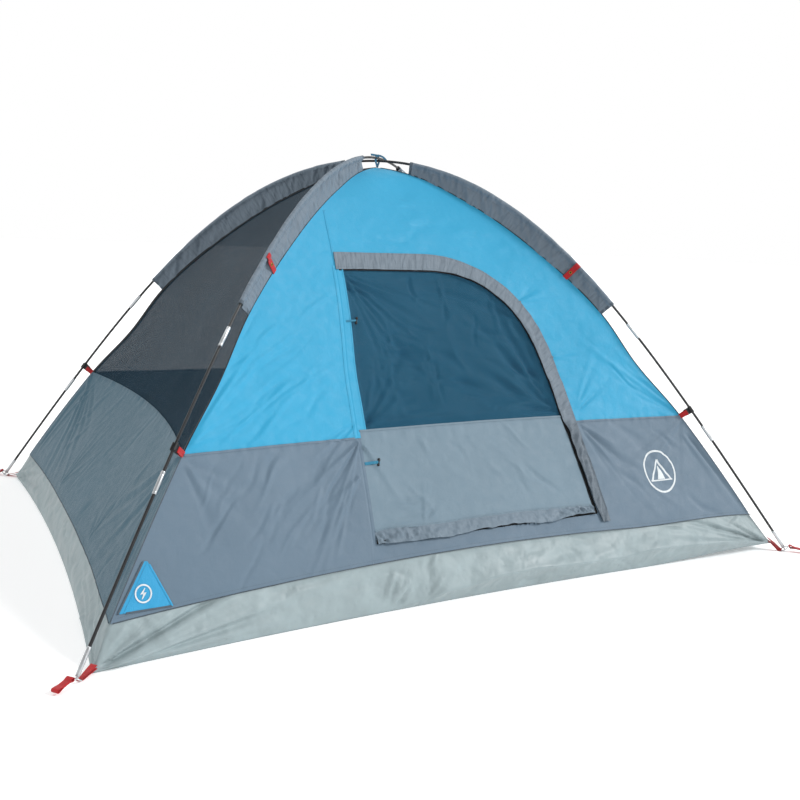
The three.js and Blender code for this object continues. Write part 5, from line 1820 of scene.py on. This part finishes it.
def ring_shape(centre, inner, outer):
    angle = np.radians(np.linspace(0, 360, 72))[:, None]
    radius = np.array([inner, outer])
    return np.stack([centre[0] + radius * np.cos(angle), centre[1] + radius * np.sin(angle)], -1)


def stroke(start, end, width, count=14):
    start, end = np.array(start, float), np.array(end, float)
    along = unit(end - start)
    out = np.array([-along[1], along[0]]) * width / 2
    t = np.linspace(0, 1, count)[:, None]
    middle = start + (end - start) * t
    return np.stack([middle - out, middle + out], 1)


def filled(a, b, c, d, count=12):
    """Four-cornered patch."""
    a, b, c, d = (np.array(p, float) for p in (a, b, c, d))
    u, v = np.linspace(0, 1, count)[:, None, None], np.linspace(0, 1, count)[None, :, None]
    return (a * (1 - u) + b * u) * (1 - v) + (d * (1 - u) + c * u) * v


def add_cable_port():
    body = "cable_port_flap"
    v = np.linspace(0, 1, 26)[:, None]
    left = PORT_LEFT + (PORT_PEAK[0] - PORT_LEFT) * v
    right = PORT_RIGHT + (PORT_PEAK[0] - PORT_RIGHT) * v
    z = PORT_FOOT_Z + (PORT_PEAK[1] - PORT_FOOT_Z) * v
    x = left + (right - left) * np.linspace(0, 1, 34)
    lift = PORT_LIFT + 0.0006 * noise(x / 0.02, z / 0.03, 700)
    points = wall("front", x, np.broadcast_to(z, x.shape), lift)
    flap = grid_piece("cable_port_cloth", points, port_blue, body)
    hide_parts(body)
    # both edges' tapes stop short of the hinge
    along = np.linspace(0.05, 1, 60)
    up = np.linspace(0, 0.93, 60)
    foot_edge = PORT_LEFT + (PORT_RIGHT - PORT_LEFT) * along, np.full_like(along, PORT_FOOT_Z), binding_grey
    right_edge_x = PORT_RIGHT + (PORT_PEAK[0] - PORT_RIGHT) * up
    right_edge_z = PORT_FOOT_Z + (PORT_PEAK[1] - PORT_FOOT_Z) * up
    edges = {"foot": foot_edge, "right": (right_edge_x, right_edge_z, port_blue)}
    lift = PORT_LIFT + 0.0006
    trims = [tape(f"cable_port_edge_{label}", "front", xs, zs, 0.0045, lift, look, body)
             for label, (xs, zs, look) in edges.items()]
    # the strip that the flap is sewn to, between it and the corner
    z = PORT_FOOT_Z + (PORT_PEAK[1] - PORT_FOOT_Z) * v
    side = PORT_LEFT + (PORT_PEAK[0] - PORT_LEFT) * v - 0.0006
    x = side - (0.013 - 0.003 * v) * np.linspace(1, 0, 8)
    strip = wall("front", x, np.broadcast_to(z, x.shape), PORT_LIFT - 0.0002)
    grid_piece("cable_port_strip", strip, port_blue, ROOT)
    tape("cable_port_welt", "front", x[:, 0], z[:, 0], 0.0050, PORT_LIFT + 0.0004, binding_grey)
    centre = (-1.026, 0.155)
    bolt = [filled((0.004, 0.012), (-0.008, -0.001), (-0.001, -0.001), (0.006, 0.012), 5),
            filled((0.001, 0.002), (-0.006, -0.013), (-0.002, -0.011), (0.008, 0.002), 5)]
    shapes = [ring_shape(centre, 0.0175, 0.0212)] + [part + np.array(centre) for part in bolt]
    symbol = printed("cable_port_symbol", shapes, PORT_LIFT + 0.0016, print_white, body)
    declare(points)


def add_emblem():
    """A plain round badge with the outline of a tent, printed on the lower cloth."""
    x, z = 0.738, 0.291
    apex, left, right = (x, z + 0.036), (x - 0.040, z - 0.026), (x + 0.040, z - 0.026)
    shapes = [
        ring_shape((x, z), 0.0605, 0.0665),
        stroke(apex, left, 0.007),
        stroke(apex, right, 0.007),
        stroke((x - 0.046, z - 0.027), (x + 0.046, z - 0.027), 0.004),
        filled((x - 0.016, z - 0.024), (x + 0.016, z - 0.024),
               (x + 0.001, z + 0.018), (x - 0.001, z + 0.018)),
    ]
    printed("front_badge", shapes, 0.0017, print_white, ROOT)


add_cable_port()
add_emblem()

# ---------- floor, light and colour ----------

SKY, KEY, RIM = 0.46, 0.78, 0.30  # light from overhead, from the right of the door and from behind


def add_stage():
    mesh = bpy.data.meshes.new("stage_floor")
    reach = 40.0
    corners = [(-reach, -reach, 0), (reach, -reach, 0), (reach, reach, 0), (-reach, reach, 0)]
    mesh.from_pydata(corners, [], [(0, 1, 2, 3)])
    floor = bpy.data.objects.new("stage_floor", mesh)
    floor.location.z = -0.0002
    look = Look("stage_white", (250, 250, 250), 0.9)
    look.set("Base Color", (0.97, 0.97, 0.97, 1))
    look.set("Emission Color", (1, 1, 1, 1))
    look.set("Emission Strength", 0.20)
    mesh.materials.append(look.material)
    bpy.context.scene.collection.objects.link(floor)
    world = bpy.data.worlds.new("studio")
    world.use_nodes = True
    tree = world.node_tree
    place = tree.nodes.new("ShaderNodeTexCoord")
    parts = tree.nodes.new("ShaderNodeSeparateXYZ")
    fade = tree.nodes.new("ShaderNodeMapRange")
    for socket, value in (("From Min", 0.30), ("From Max", 0.62), ("To Min", 1.0), ("To Max", SKY)):
        fade.inputs[socket].default_value = value
    tree.links.new(place.outputs["Generated"], parts.inputs[0])
    tree.links.new(parts.outputs[2], fade.inputs["Value"])
    tree.links.new(fade.outputs[0], tree.nodes["Background"].inputs["Strength"])
    tree.nodes["Background"].inputs["Color"].default_value = (1, 1, 1, 1)
    bpy.context.scene.world = world
    for name, direction, angle, strength in (
        ("key", (0.72, -0.50, 0.62), 14, KEY),
        ("rim", (-0.30, 0.30, 0.90), 30, RIM),
    ):
        data = bpy.data.lights.new(name, "SUN")
        data.angle = math.radians(angle)
        data.energy = strength * math.pi
        lamp = bpy.data.objects.new(name, data)
        lamp.location = Vector(direction) * 6
        lamp.rotation_mode = "QUATERNION"
        lamp.rotation_quaternion = Vector(direction).to_track_quat("Z", "Y")
        bpy.context.scene.collection.objects.link(lamp)
    bpy.context.scene.view_settings.view_transform = "Standard"


add_stage()
